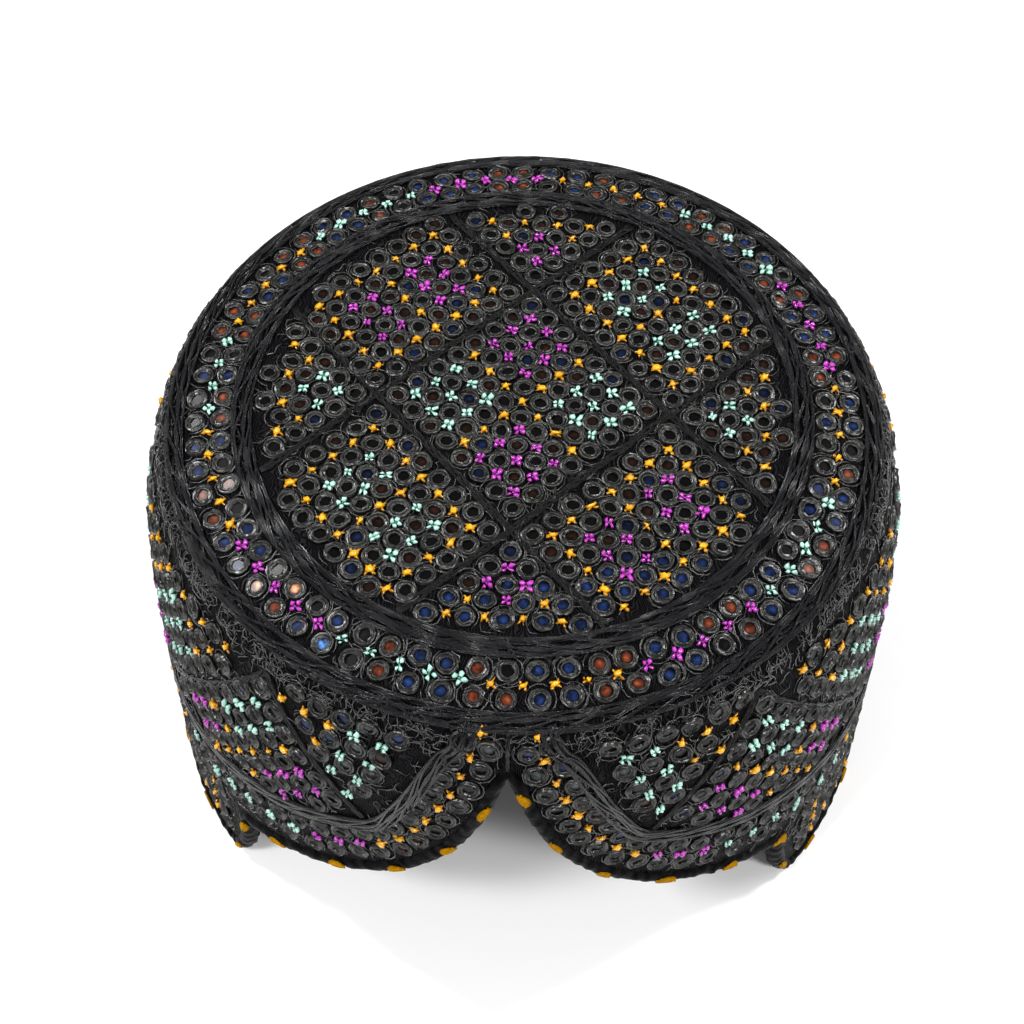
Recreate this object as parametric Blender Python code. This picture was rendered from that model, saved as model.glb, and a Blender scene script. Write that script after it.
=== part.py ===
"""Sindhi cap: a low round crown on a flared wall with a notched, two-lobed front."""
import math

import bmesh
import bpy
import numpy as np

# Frame: the cap stands on its hem at z = 0 with the notch towards -Y.
HEIGHT = 0.1167
AXIS_Y = -0.0029
MEAN_RADIUS = 0.0905

# Crown and shoulder: the crown is level in the middle and falls in a shallow cone to its seam
CROWN_RADIUS = 0.0768
LEVEL_RADIUS = 0.0650
CROWN_RISE = 0.0021
CROWN_THICKNESS = 0.0034
SHOULDER_OUT = 0.0065
SHOULDER_DROP = 0.0057
SEAM_GAP = 0.0003
CROWN_SIDES = 96

# Wall: it flares quickly below the shoulder, then at a steady slope down to the hem
FLARE_OUT = 0.0047
FLARE_LENGTH = 0.012
FLARE_SLOPE = 0.063
WALL_THICKNESS = 0.0032
SHOULDER_ROWS = (0.0, 0.12, 0.35, 0.65)
FLARE_ROWS = (0.05, 0.12, 0.22, 0.40, 0.68, 1.0)

# Front outline: depth below the crown, by azimuth in degrees from the notch
NOTCH_DEPTH = 0.0124
LOBE_DROP = 0.0382
LOBE_SPREAD = 7.4
LOBE_SLOPE = 0.00082
LOBE_END = 44.8
SIDE_START = 51.5
FINE_ANGLE = 0.05
FINE_STEP = 0.0003

# Hem binding: width across the edge and a section as fractions of it and offsets from the cloth
BINDING_WIDTH = 0.0042
CORNER_WINDOW = 0.0045
FRONT_STEP = 0.0040
BACK_STEP = 0.0090
FRONT_END = 53.5
REST_TOLERANCE = 0.0001
BINDING_SECTION = (
    # across, outward
    (0.00, -0.0029),
    (0.00, -0.0003),
    (0.25, 0.0007),
    (0.80, 0.0010),
    (1.00, 0.0003),
    (1.00, -0.0035),
    (0.80, -0.0042),
    (0.25, -0.0039),
)

# Braids and bands lie just clear of the cloth
LIFT = 0.0003
BRAID_HEIGHT = 0.0016
BRAID_SECTION = ((-1.0, 0.25), (-0.6, 0.85), (0.0, 1.0), (0.6, 0.85), (1.0, 0.25), (0.6, 0.0), (-0.6, 0.0))
EDGE_BRAID_RUN = 0.0022
EDGE_BRAID_HALF = 0.0016
EDGE_BRAID_SIDES = 84
MEDALLION_RADIUS = 0.0630
MEDALLION_HALF = 0.0014
MEDALLION_SIDES = 64
ARCH_HALF = 0.0016
ARCH_STEP = 0.0045
ARCH_SAMPLES = 24
ARCH_ROUTE = (
    # azimuth, depth
    (7.4, 0.0053),
    (9.0, 0.0078),
    (11.0, 0.0137),
    (14.0, 0.0250),
    (18.0, 0.0373),
    (22.0, 0.0422),
    (28.0, 0.0471),
    (34.0, 0.0520),
    (40.0, 0.0557),
    (46.0, 0.0592),
    (52.0, 0.0624),
    (58.0, 0.0653),
    (66.0, 0.0670),
    (80.0, 0.0675),
    (180.0, 0.0675),
)

# Plain bands between the panels
BAND_HEIGHT = 0.0007
BAND_HALF = 0.0008
MEDALLION_TURN = -3.0
MEDALLION_BAND_AT = 0.0238
MEDALLION_CLEAR = 0.0023
NET_NODES = (37.5, 85.0, 132.5, 180.0)
NET_SLOPE = 0.0019
NET_TOP = 0.0059
NET_CLEAR = 0.0030
NET_STEP = 6.0

# Cloth and thread: colour, roughness
MATERIALS = {
    "crown_panel": ((0.012, 0.012, 0.014), 0.75),
    "side_wall": ((0.012, 0.012, 0.014), 0.75),
    "crown_edge_braid": ((0.020, 0.021, 0.026), 0.50),
    "medallion_braid": ((0.020, 0.021, 0.026), 0.50),
    "arch_braid": ((0.020, 0.021, 0.026), 0.50),
    "crown_lattice": ((0.030, 0.030, 0.032), 0.60),
    "wall_lattice": ((0.030, 0.030, 0.032), 0.60),
    "hem_binding": ((0.014, 0.014, 0.016), 0.45),
}


def outer_radius(depth):
    """Radius of the cloth's outer face at a depth below the crown."""
    inside = np.clip(1.0 - depth / SHOULDER_DROP, 0.0, 1.0)
    shoulder = CROWN_RADIUS + SHOULDER_OUT * np.sqrt(1.0 - inside**2)
    below = np.maximum(depth - SHOULDER_DROP, 0.0)
    flare = FLARE_OUT * (1.0 - np.exp(-below / FLARE_LENGTH)) + FLARE_SLOPE * below
    return np.where(depth < SHOULDER_DROP, shoulder, CROWN_RADIUS + SHOULDER_OUT + flare)


def crown_rise(radius):
    """Height of the crown's outer face above its seam at a radius."""
    return CROWN_RISE * np.clip((CROWN_RADIUS - radius) / (CROWN_RADIUS - LEVEL_RADIUS), 0.0, 1.0)


def profile_table():
    """The outer face in section: run along the cloth from the seam, radius, depth and outward normal."""
    turn = np.radians(np.arange(0.0, 90.0, 30 * FINE_ANGLE))
    shoulder = SHOULDER_DROP * (1.0 - np.cos(turn))
    depth = np.concatenate([shoulder, np.arange(SHOULDER_DROP, HEIGHT + BINDING_WIDTH, FINE_STEP)])
    radius = outer_radius(depth)
    run = np.concatenate([[0.0], np.cumsum(np.hypot(np.diff(radius), np.diff(depth)))])
    slope_r = np.gradient(radius, run)
    slope_d = np.gradient(depth, run)
    length = np.hypot(slope_r, slope_d)
    return run, radius, depth, slope_d / length, slope_r / length


RUN, RADIUS, DEPTH, NORMAL_OUT, NORMAL_UP = profile_table()


def run_at(depth):
    return np.interp(depth, DEPTH, RUN)


def on_cap(azimuth, run, lift):
    """Point at an azimuth from the notch, a run from the crown seam and a lift off the cloth."""
    azimuth, run, lift = np.broadcast_arrays(azimuth, run, lift)
    radius = np.where(run < 0, CROWN_RADIUS + run, np.interp(run, RUN, RADIUS))
    depth = np.where(run < 0, -crown_rise(radius), np.interp(run, RUN, DEPTH))
    out = np.where(run < 0, 0.0, np.interp(run, RUN, NORMAL_OUT))
    up = np.where(run < 0, 1.0, np.interp(run, RUN, NORMAL_UP))
    radius = radius + lift * out
    angle = np.radians(azimuth)
    height = HEIGHT - depth + lift * up
    return np.stack([radius * np.sin(angle), AXIS_Y - radius * np.cos(angle), height], -1)


def hem_depth(azimuth):
    """Depth of the cap's lower edge: notch and lobe, then a rounded step to the level sides and back."""
    a = np.abs(azimuth)
    lobe = NOTCH_DEPTH + LOBE_DROP * (1.0 - np.exp(-a / LOBE_SPREAD)) + LOBE_SLOPE * a
    corner = NOTCH_DEPTH + LOBE_DROP * (1.0 - math.exp(-LOBE_END / LOBE_SPREAD)) + LOBE_SLOPE * LOBE_END
    left = np.clip((SIDE_START - a) / (SIDE_START - LOBE_END), 0.0, 1.0)
    step = corner + (HEIGHT - corner) * np.sqrt(1.0 - left**2)
    return np.where(a < LOBE_END, lobe, step)


def hem_stations():
    """Azimuth and run of points along the whole lower edge, with the direction into the cloth at each."""
    corner = SIDE_START - LOBE_END
    azimuth = np.concatenate([np.arange(0.0, LOBE_END, FINE_ANGLE),
                              LOBE_END + corner * np.linspace(0.0, 1.0, int(HEIGHT / FINE_STEP))**2,
                              np.arange(SIDE_START, 180.0, FINE_ANGLE)[1:]])
    across = np.radians(azimuth) * MEAN_RADIUS
    down = run_at(hem_depth(azimuth))
    length = np.concatenate([[0.0], np.cumsum(np.hypot(np.diff(across), np.diff(down)))])
    fine = np.arange(0.0, length[-1], FINE_STEP)
    across, down = np.interp(fine, length, across), np.interp(fine, length, down)
    heading = np.unwrap(np.arctan2(np.gradient(-down), np.gradient(across)))
    half = int(CORNER_WINDOW / FINE_STEP)
    padded = np.concatenate([-heading[half:0:-1], heading, np.full(half, heading[-1])])
    smooth = np.convolve(padded, np.ones(2 * half + 1) / (2 * half + 1), "valid")
    front_end = np.interp(math.radians(FRONT_END) * MEAN_RADIUS, across, fine)
    front = np.linspace(0.0, front_end, int(front_end / FRONT_STEP))
    back = np.linspace(front_end, fine[-1], int((fine[-1] - front_end) / BACK_STEP))[1:-1]
    pick = np.concatenate([front, back])
    u, v = np.interp(pick, fine, across), np.interp(pick, fine, down)
    into = np.interp(pick, fine, smooth) + math.pi / 2
    half_edge = np.stack([u, v, np.cos(into), -np.sin(into)], 1)
    mirrored = half_edge[:0:-1] * (-1.0, 1.0, -1.0, 1.0)
    far = np.array([[math.pi * MEAN_RADIUS, v[-1], 0.0, -1.0]])
    return np.concatenate([half_edge, far, mirrored])


def inward(stations, distance):
    """The hem moved into the cloth by a distance: azimuth in degrees and run."""
    u = stations[:, 0] + stations[:, 2] * distance
    v = stations[:, 1] + stations[:, 3] * distance
    return np.degrees(u / MEAN_RADIUS), v


def make_object(name, points, faces):
    """A named object from points and faces, with its own material and its faces turned outwards."""
    mesh = bpy.data.meshes.new(name)
    mesh.from_pydata([tuple(p) for p in np.asarray(points, float).tolist()], [], faces)
    work = bmesh.new()
    work.from_mesh(mesh)
    bmesh.ops.recalc_face_normals(work, faces=work.faces)
    work.to_mesh(mesh)
    work.free()
    mesh.shade_smooth()
    mesh.set_sharp_from_angle(angle=math.radians(40))
    colour, roughness = MATERIALS[name]
    material = bpy.data.materials.new(name)
    material.use_nodes = True
    shader = material.node_tree.nodes["Principled BSDF"]
    shader.inputs["Base Color"].default_value = (*colour, 1.0)
    shader.inputs["Roughness"].default_value = roughness
    mesh.materials.append(material)
    built = bpy.data.objects.new(name, mesh)
    bpy.context.scene.collection.objects.link(built)
    return built


def loop_faces(count, size, closed=True):
    """Quads between each section of a sweep and the next, with flat ends when the sweep is open."""
    faces = []
    for i in range(count if closed else count - 1):
        j = (i + 1) % count
        for k in range(size):
            n = (k + 1) % size
            faces.append((i * size + k, j * size + k, j * size + n, i * size + n))
    if not closed:
        faces.append(tuple(range(size)))
        faces.append(tuple((count - 1) * size + k for k in range(size)))
    return faces


def make_crown_panel():
    """The crown: level in the middle with a shallow conical rim on top, and level all over beneath."""
    edge = CROWN_RADIUS - SEAM_GAP
    angle = np.linspace(0.0, 2 * math.pi, CROWN_SIDES, endpoint=False)[:, None]
    radius = np.array([LEVEL_RADIUS, edge, edge])
    height = HEIGHT + crown_rise(radius)
    height[2] = HEIGHT + CROWN_RISE - CROWN_THICKNESS
    points = np.stack([radius * np.sin(angle), AXIS_Y - radius * np.cos(angle), height + 0.0 * angle], -1)
    faces = []
    for i in range(CROWN_SIDES):
        j = (i + 1) % CROWN_SIDES
        faces += [(3 * i, 3 * j, 3 * j + 1, 3 * i + 1), (3 * i + 1, 3 * j + 1, 3 * j + 2, 3 * i + 2)]
    faces.append(tuple(3 * i for i in range(CROWN_SIDES)))
    faces.append(tuple(3 * i + 2 for i in range(CROWN_SIDES)))
    return make_object("crown_panel", points.reshape(-1, 3), faces)


def make_side_wall(stations):
    """The cloth wall: rows from the seam to the binding outside, and back up inside."""
    azimuth, edge = inward(stations, BINDING_WIDTH + SEAM_GAP)
    shoulder = np.array(SHOULDER_ROWS) * run_at(SHOULDER_DROP)
    below = np.array(FLARE_ROWS)
    last = shoulder[-1]
    rows = np.concatenate([np.repeat(shoulder[None], len(edge), 0),
                           last + (edge[:, None] - last) * below], 1)
    outside = on_cap(azimuth[:, None], rows, 0.0)
    inside = on_cap(azimuth[:, None], rows, -WALL_THICKNESS)[:, ::-1]
    points = np.concatenate([outside, inside], 1)
    return make_object("side_wall", points.reshape(-1, 3), loop_faces(len(edge), points.shape[1]))


def make_hem_binding(stations):
    """The bound edge: its section carried along the whole hem, flattened where it rests."""
    sections = []
    for across, outward in BINDING_SECTION:
        azimuth, run = inward(stations, across * BINDING_WIDTH)
        sections.append(on_cap(azimuth, run, outward))
    points = np.stack(sections, 1)
    resting = points[..., 2] < REST_TOLERANCE
    points[resting, 2] = 0.0
    return make_object("hem_binding", points.reshape(-1, 3), loop_faces(len(stations), points.shape[1]))


def make_ring_braid(name, run, half, count):
    """A braid that rings the cap at one run from the crown's seam."""
    azimuth = np.linspace(0.0, 360.0, count, endpoint=False)
    section = np.array(BRAID_SECTION)
    points = on_cap(azimuth[:, None], run + section[:, 0] * half, LIFT + section[:, 1] * BRAID_HEIGHT)
    return make_object(name, points.reshape(-1, 3), loop_faces(count, len(section)))


def arch_line():
    """Smooth route of the arch braid on the cap's right half, as azimuth and depth."""
    knots = np.array(ARCH_ROUTE)
    ahead = np.concatenate([knots[1:], knots[-1:] * 2 - knots[-2:-1]])
    behind = np.concatenate([knots[:1] * 2 - knots[1:2], knots[:-1]])
    spans = []
    for i in range(len(knots) - 1):
        t = np.linspace(0.0, 1.0, ARCH_SAMPLES, endpoint=False)[:, None]
        p0, p1, p2, p3 = behind[i], knots[i], knots[i + 1], ahead[i + 1]
        spans.append(0.5 * (2 * p1 + (p2 - p0) * t + (2 * p0 - 5 * p1 + 4 * p2 - p3) * t**2
                            + (3 * p1 - p0 - 3 * p2 + p3) * t**3))
    line = np.concatenate(spans + [knots[-1:]])
    u, v = np.radians(line[:, 0]) * MEAN_RADIUS, run_at(line[:, 1])
    length = np.concatenate([[0.0], np.cumsum(np.hypot(np.diff(u), np.diff(v)))])
    even = np.linspace(0.0, length[-1], int(length[-1] / ARCH_STEP))
    return np.interp(even, length, u), np.interp(even, length, v)


def make_arch_braid(u, v):
    """The braid that follows the hem: from the crown edge, round the back, to the crown edge again."""
    u = np.concatenate([u[:-1], 2 * math.pi * MEAN_RADIUS - u[::-1]])
    v = np.concatenate([v[:-1], v[::-1]])
    du, dv = np.gradient(u), np.gradient(v)
    size = np.hypot(du, dv)
    section = np.array(BRAID_SECTION)
    side = section[:, 0] * ARCH_HALF
    across = u[:, None] - (dv / size)[:, None] * side
    down = v[:, None] + (du / size)[:, None] * side
    lift = LIFT + section[:, 1] * BRAID_HEIGHT
    points = on_cap(np.degrees(across / MEAN_RADIUS), down, lift)
    return make_object("arch_braid", points.reshape(-1, 3), loop_faces(len(u), len(section), closed=False))


def make_net(name, corners, quads, place):
    """One fused net of flat bands: quads between named corners, given a top, a foot and side faces."""
    keys = list(corners)
    index = {key: i for i, key in enumerate(keys)}
    flat = np.array([corners[key] for key in keys])
    points = np.concatenate([place(flat, LIFT), place(flat, LIFT + BAND_HEIGHT)])
    count = len(keys)
    faces = []
    rim = {}
    for quad in quads:
        ring = [index[key] for key in quad]
        faces.append(tuple(reversed(ring)))
        faces.append(tuple(i + count for i in ring))
        for a, b in zip(ring, ring[1:] + ring[:1]):
            if (b, a) in rim:
                del rim[(b, a)]
            else:
                rim[(a, b)] = True
    faces += [(a, b, b + count, a + count) for a, b in rim]
    return make_object(name, points, faces)


def make_crown_lattice():
    """Four bands that part the medallion into nine panels, cut to the ring braid's circle."""
    reach = MEDALLION_RADIUS - MEDALLION_CLEAR
    at, half = MEDALLION_BAND_AT, BAND_HALF
    lines = [-reach, -at - half, -at + half, at - half, at + half, reach]
    corners, quads = {}, []
    turn = math.radians(45.0 + MEDALLION_TURN)
    for i in range(5):
        for j in range(5):
            if i in (1, 3) or j in (1, 3):
                quad = [(i, j), (i + 1, j), (i + 1, j + 1), (i, j + 1)]
                quads.append(quad)
                for p, q in quad:
                    x, y = lines[p], lines[q]
                    if p in (0, 5):
                        x = math.copysign(math.sqrt(reach**2 - y**2), x)
                    if q in (0, 5):
                        y = math.copysign(math.sqrt(reach**2 - x**2), y)
                    corners[(p, q)] = (x, y)

    def place(flat, lift):
        x = flat[:, 0] * math.cos(turn) - flat[:, 1] * math.sin(turn)
        y = flat[:, 0] * math.sin(turn) + flat[:, 1] * math.cos(turn) + AXIS_Y
        return np.stack([x, y, np.full(len(x), HEIGHT + CROWN_RISE + lift)], 1)

    return make_net("crown_lattice", corners, quads, place)


def band_stop(node, way, route_u, route_v):
    """Depth at which a wall band ends, short of the arch braid."""
    depth = np.arange(NET_TOP, HEIGHT, FINE_STEP)
    azimuth = node + way * (depth - NET_TOP) / NET_SLOPE
    folded = np.abs((azimuth + 180.0) % 360.0 - 180.0)
    arch = np.interp(np.radians(folded) * MEAN_RADIUS, route_u, route_v)
    return depth[np.nonzero(run_at(depth) > arch - NET_CLEAR)[0][0]]


def make_wall_lattice(route_u, route_v):
    """Bands that leave the crown's edge both ways at each node and cross half-way to the next node.

    A point on the wall is named by two azimuths at the crown's edge: where the right-going line and
    the left-going line through it start. Each band is then a rectangle in those two numbers.
    """
    nodes = list(NET_NODES) + [360.0 - a for a in NET_NODES[-2::-1]]
    per_degree = math.radians(MEAN_RADIUS)
    half = BAND_HALF / math.sin(math.atan2(NET_SLOPE, per_degree)) / per_degree
    corners, quads = {}, {}

    def key(right, left):
        name = (round(right, 4), round(left, 4))
        corners[name] = ((right + left) / 2, NET_TOP + (left - right) / 2 * NET_SLOPE)
        return name

    def stops(node, way):
        end = node + way * 2 * (band_stop(node, way, route_u, route_v) - NET_TOP) / NET_SLOPE
        marks = [node - way * half, node + way * half]
        neighbour = node + way * (NET_NODES[1] - NET_NODES[0])
        if any(abs(neighbour - other) < 1.0 for other in nodes):
            marks += [neighbour - way * half, neighbour + way * half]
        marks.append(end)
        cuts = marks[:1]
        for mark in marks[1:]:
            parts = max(1, round(abs(mark - cuts[-1]) / NET_STEP))
            cuts += list(np.linspace(cuts[-1], mark, parts + 1)[1:])
        return cuts

    for node in nodes:
        sides = (node - half, node + half)
        for way in (1, -1):
            cuts = stops(node, way)
            for near, far in zip(cuts, cuts[1:]):
                low, high = min(near, far), max(near, far)
                if way > 0:
                    box = (sides[0], sides[1], low, high)
                else:
                    box = (low, high, sides[0], sides[1])
                r0, r1, l0, l1 = box
                quad = [key(r0, l0), key(r1, l0), key(r1, l1), key(r0, l1)]
                quads[tuple(quad)] = quad

    def place(flat, lift):
        return on_cap(flat[:, 0], run_at(flat[:, 1]), lift)

    return make_net("wall_lattice", corners, list(quads.values()), place)


def main():
    for old in list(bpy.data.objects):
        bpy.data.objects.remove(old)
    stations = hem_stations()
    route_u, route_v = arch_line()
    make_crown_panel()
    make_side_wall(stations)
    make_hem_binding(stations)
    make_ring_braid("crown_edge_braid", EDGE_BRAID_RUN, EDGE_BRAID_HALF, EDGE_BRAID_SIDES)
    make_ring_braid("medallion_braid", MEDALLION_RADIUS - CROWN_RADIUS, MEDALLION_HALF, MEDALLION_SIDES)
    make_arch_braid(route_u, route_v)
    make_crown_lattice()
    make_wall_lattice(route_u, route_v)


main()
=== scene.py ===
"""Sindhi cap: wrapped rings, mirrors, thread knots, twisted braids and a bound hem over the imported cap.

Lengths are in metres. The cap stands on its hem at z = 0 with its notch towards -Y. A place on the cloth
is named by (u, v): u is the distance round the cap from the notch, measured at the mean radius, and v is
the run along the cloth from the seam between the crown and the wall, positive down the wall.
"""
import math

import bpy
import numpy as np
from bpy.props import FloatProperty, FloatVectorProperty, IntProperty, PointerProperty
from mathutils import Matrix, Vector


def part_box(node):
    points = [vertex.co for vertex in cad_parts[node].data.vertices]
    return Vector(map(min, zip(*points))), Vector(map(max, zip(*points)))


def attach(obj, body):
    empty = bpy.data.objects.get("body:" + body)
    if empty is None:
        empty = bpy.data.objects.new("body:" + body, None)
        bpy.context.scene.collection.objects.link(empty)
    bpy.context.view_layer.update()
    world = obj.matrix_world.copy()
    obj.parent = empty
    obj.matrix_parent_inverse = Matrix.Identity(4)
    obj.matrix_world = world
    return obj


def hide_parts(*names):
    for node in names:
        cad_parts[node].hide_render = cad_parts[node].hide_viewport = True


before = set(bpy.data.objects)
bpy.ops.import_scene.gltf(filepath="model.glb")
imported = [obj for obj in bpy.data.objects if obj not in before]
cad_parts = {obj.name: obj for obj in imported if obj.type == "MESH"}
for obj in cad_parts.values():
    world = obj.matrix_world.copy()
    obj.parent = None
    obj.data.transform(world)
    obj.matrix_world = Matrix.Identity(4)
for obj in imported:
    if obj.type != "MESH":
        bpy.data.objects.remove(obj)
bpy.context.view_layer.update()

bl_info = {
    "name": "Sindhi Cap Dresser",
    "version": (1, 0, 0),
    "blender": (4, 5, 0),
    "location": "View3D > Sidebar > Cap",
    "description": "Dresses a stiff round cap with rings, mirrors, knots, braids and a bound hem",
    "category": "Object",
}

# The cap's form, as in the solids
CROWN_RADIUS = 0.0768
LEVEL_RADIUS = 0.0650
CROWN_RISE = 0.0021
CROWN_THICKNESS = 0.0034
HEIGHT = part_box("crown_panel")[1][2] - CROWN_RISE
AXIS_Y = -0.0029
MEAN_RADIUS = 0.0905
SHOULDER_OUT = 0.0065
SHOULDER_DROP = 0.0057
FLARE_OUT = 0.0047
FLARE_LENGTH = 0.012
FLARE_SLOPE = 0.063
WALL_THICKNESS = 0.0032
NOTCH_DEPTH = 0.0124
LOBE_DROP = 0.0382
LOBE_SPREAD = 7.4
LOBE_SLOPE = 0.00082
LOBE_END = 44.8
SIDE_START = 51.5
BINDING_WIDTH = 0.0042
CORNER_WINDOW = 0.0045
FINE_STEP = 0.0003
HEM_STEP = 0.0009
LINE_STEP = 0.0010

# Length of cord or hem that one unit of a UV map covers
UV_LENGTH = 0.010

# The arch braid's route, the medallion and the net of bands
ARCH_ROUTE = (
    # azimuth, depth
    (5.5, 0.0005), (7.4, 0.0053), (9.0, 0.0078), (11.0, 0.0137), (14.0, 0.0250), (18.0, 0.0373),
    (22.0, 0.0422), (28.0, 0.0471), (34.0, 0.0520), (40.0, 0.0557), (46.0, 0.0592), (52.0, 0.0624),
    (58.0, 0.0653), (66.0, 0.0670), (80.0, 0.0675), (180.0, 0.0675),
)
MEDALLION_RADIUS = 0.0632
NET_NODES = (37.5, 85.0, 132.5, 180.0, 227.5, 275.0, 322.5)
NET_PERIOD = 47.5
NET_SLOPE = 0.0019
NET_TOP = 0.0059
NET_STEP = NET_PERIOD / 8.3

# The medallion's stitches: their centre, the directions of its two rows, and the shifts of its side panels
MEDALLION_CENTRE = (-0.0003, -0.0001)
ROW_ANGLES = (-48.1, 43.3)
PANEL_GAPS = (
    # row axis, way, gap from the centre panel's last stitch, sideways shift, thread colour
    (0, -1, 2.15, -0.27, "magenta"),
    (1, 1, 2.19, 0.23, "mint"),
    (1, -1, 2.28, 0.20, "mint"),
    (0, 1, 2.43, -0.14, "magenta"),
)
CORNER_COLOURS = {(-1, 1): "magenta", (-1, -1): "mint", (1, 1): "mint", (1, -1): "magenta"}

# The crown's border: stitches round the crown from the back, clockwise, in runs of one colour
BORDER_STITCHES = 69
BORDER_START = -15.1
BORDER_RADIUS = 0.0710
BORDER_ROWS = (0.0681, 0.0739)
BORDER_RUNS = (
    # colour, how many stitches
    ("magenta", 4), ("orange", 5), ("mint", 5), ("magenta", 5), ("orange", 5), ("mint", 5), ("magenta", 5),
    ("orange", 5), ("mint", 5), ("magenta", 5), ("orange", 5), ("mint", 4), ("orange", 5), ("mint", 5),
    ("magenta", 1),
)

# The line of stitches inside the hem, and the level rows that go on from it round the back
HEM_LINE = (
    # azimuth, depth
    (3.4, 0.0003), (4.2, 0.0018), (5.4, 0.0076), (6.8, 0.0136), (8.4, 0.0200), (10.5, 0.0275), (13.0, 0.0358),
    (16.3, 0.0435), (20.0, 0.0490), (24.0, 0.0538), (28.0, 0.0578), (32.0, 0.0615), (37.0, 0.0645),
    (42.0, 0.0670), (47.0, 0.0705), (51.4, 0.0742), (54.6, 0.0758),
)
LEVEL_ROWS = (0.0725, 0.0792, 0.0859, 0.0926, 0.0993, 0.1060)
LEVEL_FROM = 0.08624
LEVEL_STEP = 0.006714
FRONT_ROWS = (
    # run of the ring row, place of its first ring, run and first place of the stitches below it
    (0.0097, 0.0237, 0.0131, 0.0269), (0.0167, 0.0266, 0.0202, 0.0297), (0.0236, 0.0290, 0.0270, 0.0320),
    (0.0304, 0.0312, 0.0338, 0.0345), (0.0372, 0.0345, 0.0406, 0.0377),
)

# The wrapped thread of the binding, and the first and last satin mark's distance from the notch's tip
WRAP_PITCH = 0.0041
WRAP_HEIGHT = 0.00008
FIRST_MARK = 0.006
LAST_MARK = 0.011

# Plaits and bands: half width, height, length of one turn, strands and the radius of each
EDGE_PLAIT = (0.0022, 0.0013, 0.110, 14, 0.00030)
MEDALLION_PLAIT = (0.0024, 0.0012, 0.110, 14, 0.00031)
ARCH_PLAIT = (0.0021, 0.0012, 0.110, 14, 0.00030)
FRONT_SEAM = (0.0005, 0.0006, 0.006, 3, 0.00022)
CROWN_BAND = (0.0009, 0.0006, 0.014, 5, 0.00024)
WALL_BAND = (0.0009, 0.0006, 0.014, 5, 0.00026)
STRAND_SIDES = 5
EDGE_PLAIT_RUN = 0.0021
EDGE_PLAIT_STATIONS = 600
MEDALLION_PLAIT_STATIONS = 520
ARCH_PLAIT_STEP = 0.0013
BAND_STATIONS = 90
BAND_STEP = 0.0010

# Loose threads: how many lie in each part of the ground, the points along each, and their gap from a mirror
MEDALLION_THREADS = 700
BORDER_THREADS = 600
SHOULDER_THREADS = 1500
WALL_THREADS = 5200
THREAD_STATIONS = 5
MIRROR_CLEAR = 0.0016

# A mirror's radius as a share of its ring's
MIRROR_SHARE = 0.49

# The stage: where the camera stands about the crown's middle and how it looks, in degrees; and the lights
CAMERA_REACH = 0.36312
CAMERA_RISE = 52.54
CAMERA_SPIN = 1.6
CAMERA_PITCH = 56.33
CAMERA_YAW = -0.67
CAMERA_ROLL = 0.12
CAMERA_LENS = 56.25
LAMP_REACH = 1.15
LAMP_SIZE = 0.16
LAMP_AIM = 0.06
LAMPS = (
    # azimuth, rise, power
    (-115, 50, 7.4), (-45, 60, 6.3), (40, 50, 5.8), (112, 46, 6.9),
)
WORLD_STRENGTH = 0.36


def unit(a):
    """Each vector divided by its length."""
    return a / np.maximum(np.linalg.norm(a, axis=-1, keepdims=True), 1e-12)


def outer_radius(depth):
    """Quarter ellipse out from the crown's edge, then a quick exponential flare on top of a steady slope."""
    inside = np.clip(1.0 - depth / SHOULDER_DROP, 0.0, 1.0)
    shoulder = CROWN_RADIUS + SHOULDER_OUT * np.sqrt(1.0 - inside**2)
    below = np.maximum(depth - SHOULDER_DROP, 0.0)
    flare = FLARE_OUT * (1.0 - np.exp(-below / FLARE_LENGTH)) + FLARE_SLOPE * below
    return np.where(depth < SHOULDER_DROP, shoulder, CROWN_RADIUS + SHOULDER_OUT + flare)


def crown_rise(radius):
    """Height of the crown above its seam: level in the middle, then a straight fall to the seam."""
    return CROWN_RISE * np.clip((CROWN_RADIUS - radius) / (CROWN_RADIUS - LEVEL_RADIUS), 0.0, 1.0)


def crown_normal(radius):
    """Outward and upward parts of the crown's normal at a radius, eased where the fall begins."""
    eased = np.clip((radius - LEVEL_RADIUS + 0.001) / 0.002, 0.0, 1.0)
    lean = CROWN_RISE / (CROWN_RADIUS - LEVEL_RADIUS) * eased
    length = np.sqrt(1.0 + lean**2)
    return lean / length, 1.0 / length


def profile_table():
    """The cloth in section: run, radius, depth and the outward and upward parts of its normal."""
    turn = np.linspace(0.0, math.pi / 2, 60)
    depth = np.concatenate([SHOULDER_DROP * (1.0 - np.cos(turn)), np.linspace(SHOULDER_DROP, 0.122, 400)[1:]])
    radius = outer_radius(depth)
    run = np.concatenate([[0.0], np.cumsum(np.hypot(np.diff(radius), np.diff(depth)))])
    slope_r, slope_d = np.gradient(radius, run), np.gradient(depth, run)
    length = np.hypot(slope_r, slope_d)
    return run, radius, depth, slope_d / length, slope_r / length


RUN, RADIUS, DEPTH, NORMAL_OUT, NORMAL_UP = profile_table()


def run_at(depth):
    """Run along the cloth at a depth below the crown."""
    return np.interp(depth, DEPTH, RUN)


def cloth_normal(u, v):
    """Outward normal of the cloth: the section's normal turned to the azimuth u / mean radius."""
    u, v = np.broadcast_arrays(u, v)
    angle = u / MEAN_RADIUS
    crown_out, crown_up = crown_normal(CROWN_RADIUS + v)
    out = np.where(v < 0, crown_out, np.interp(v, RUN, NORMAL_OUT))
    up = np.where(v < 0, crown_up, np.interp(v, RUN, NORMAL_UP))
    return np.stack([out * np.sin(angle), -out * np.cos(angle), up], -1)


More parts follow.
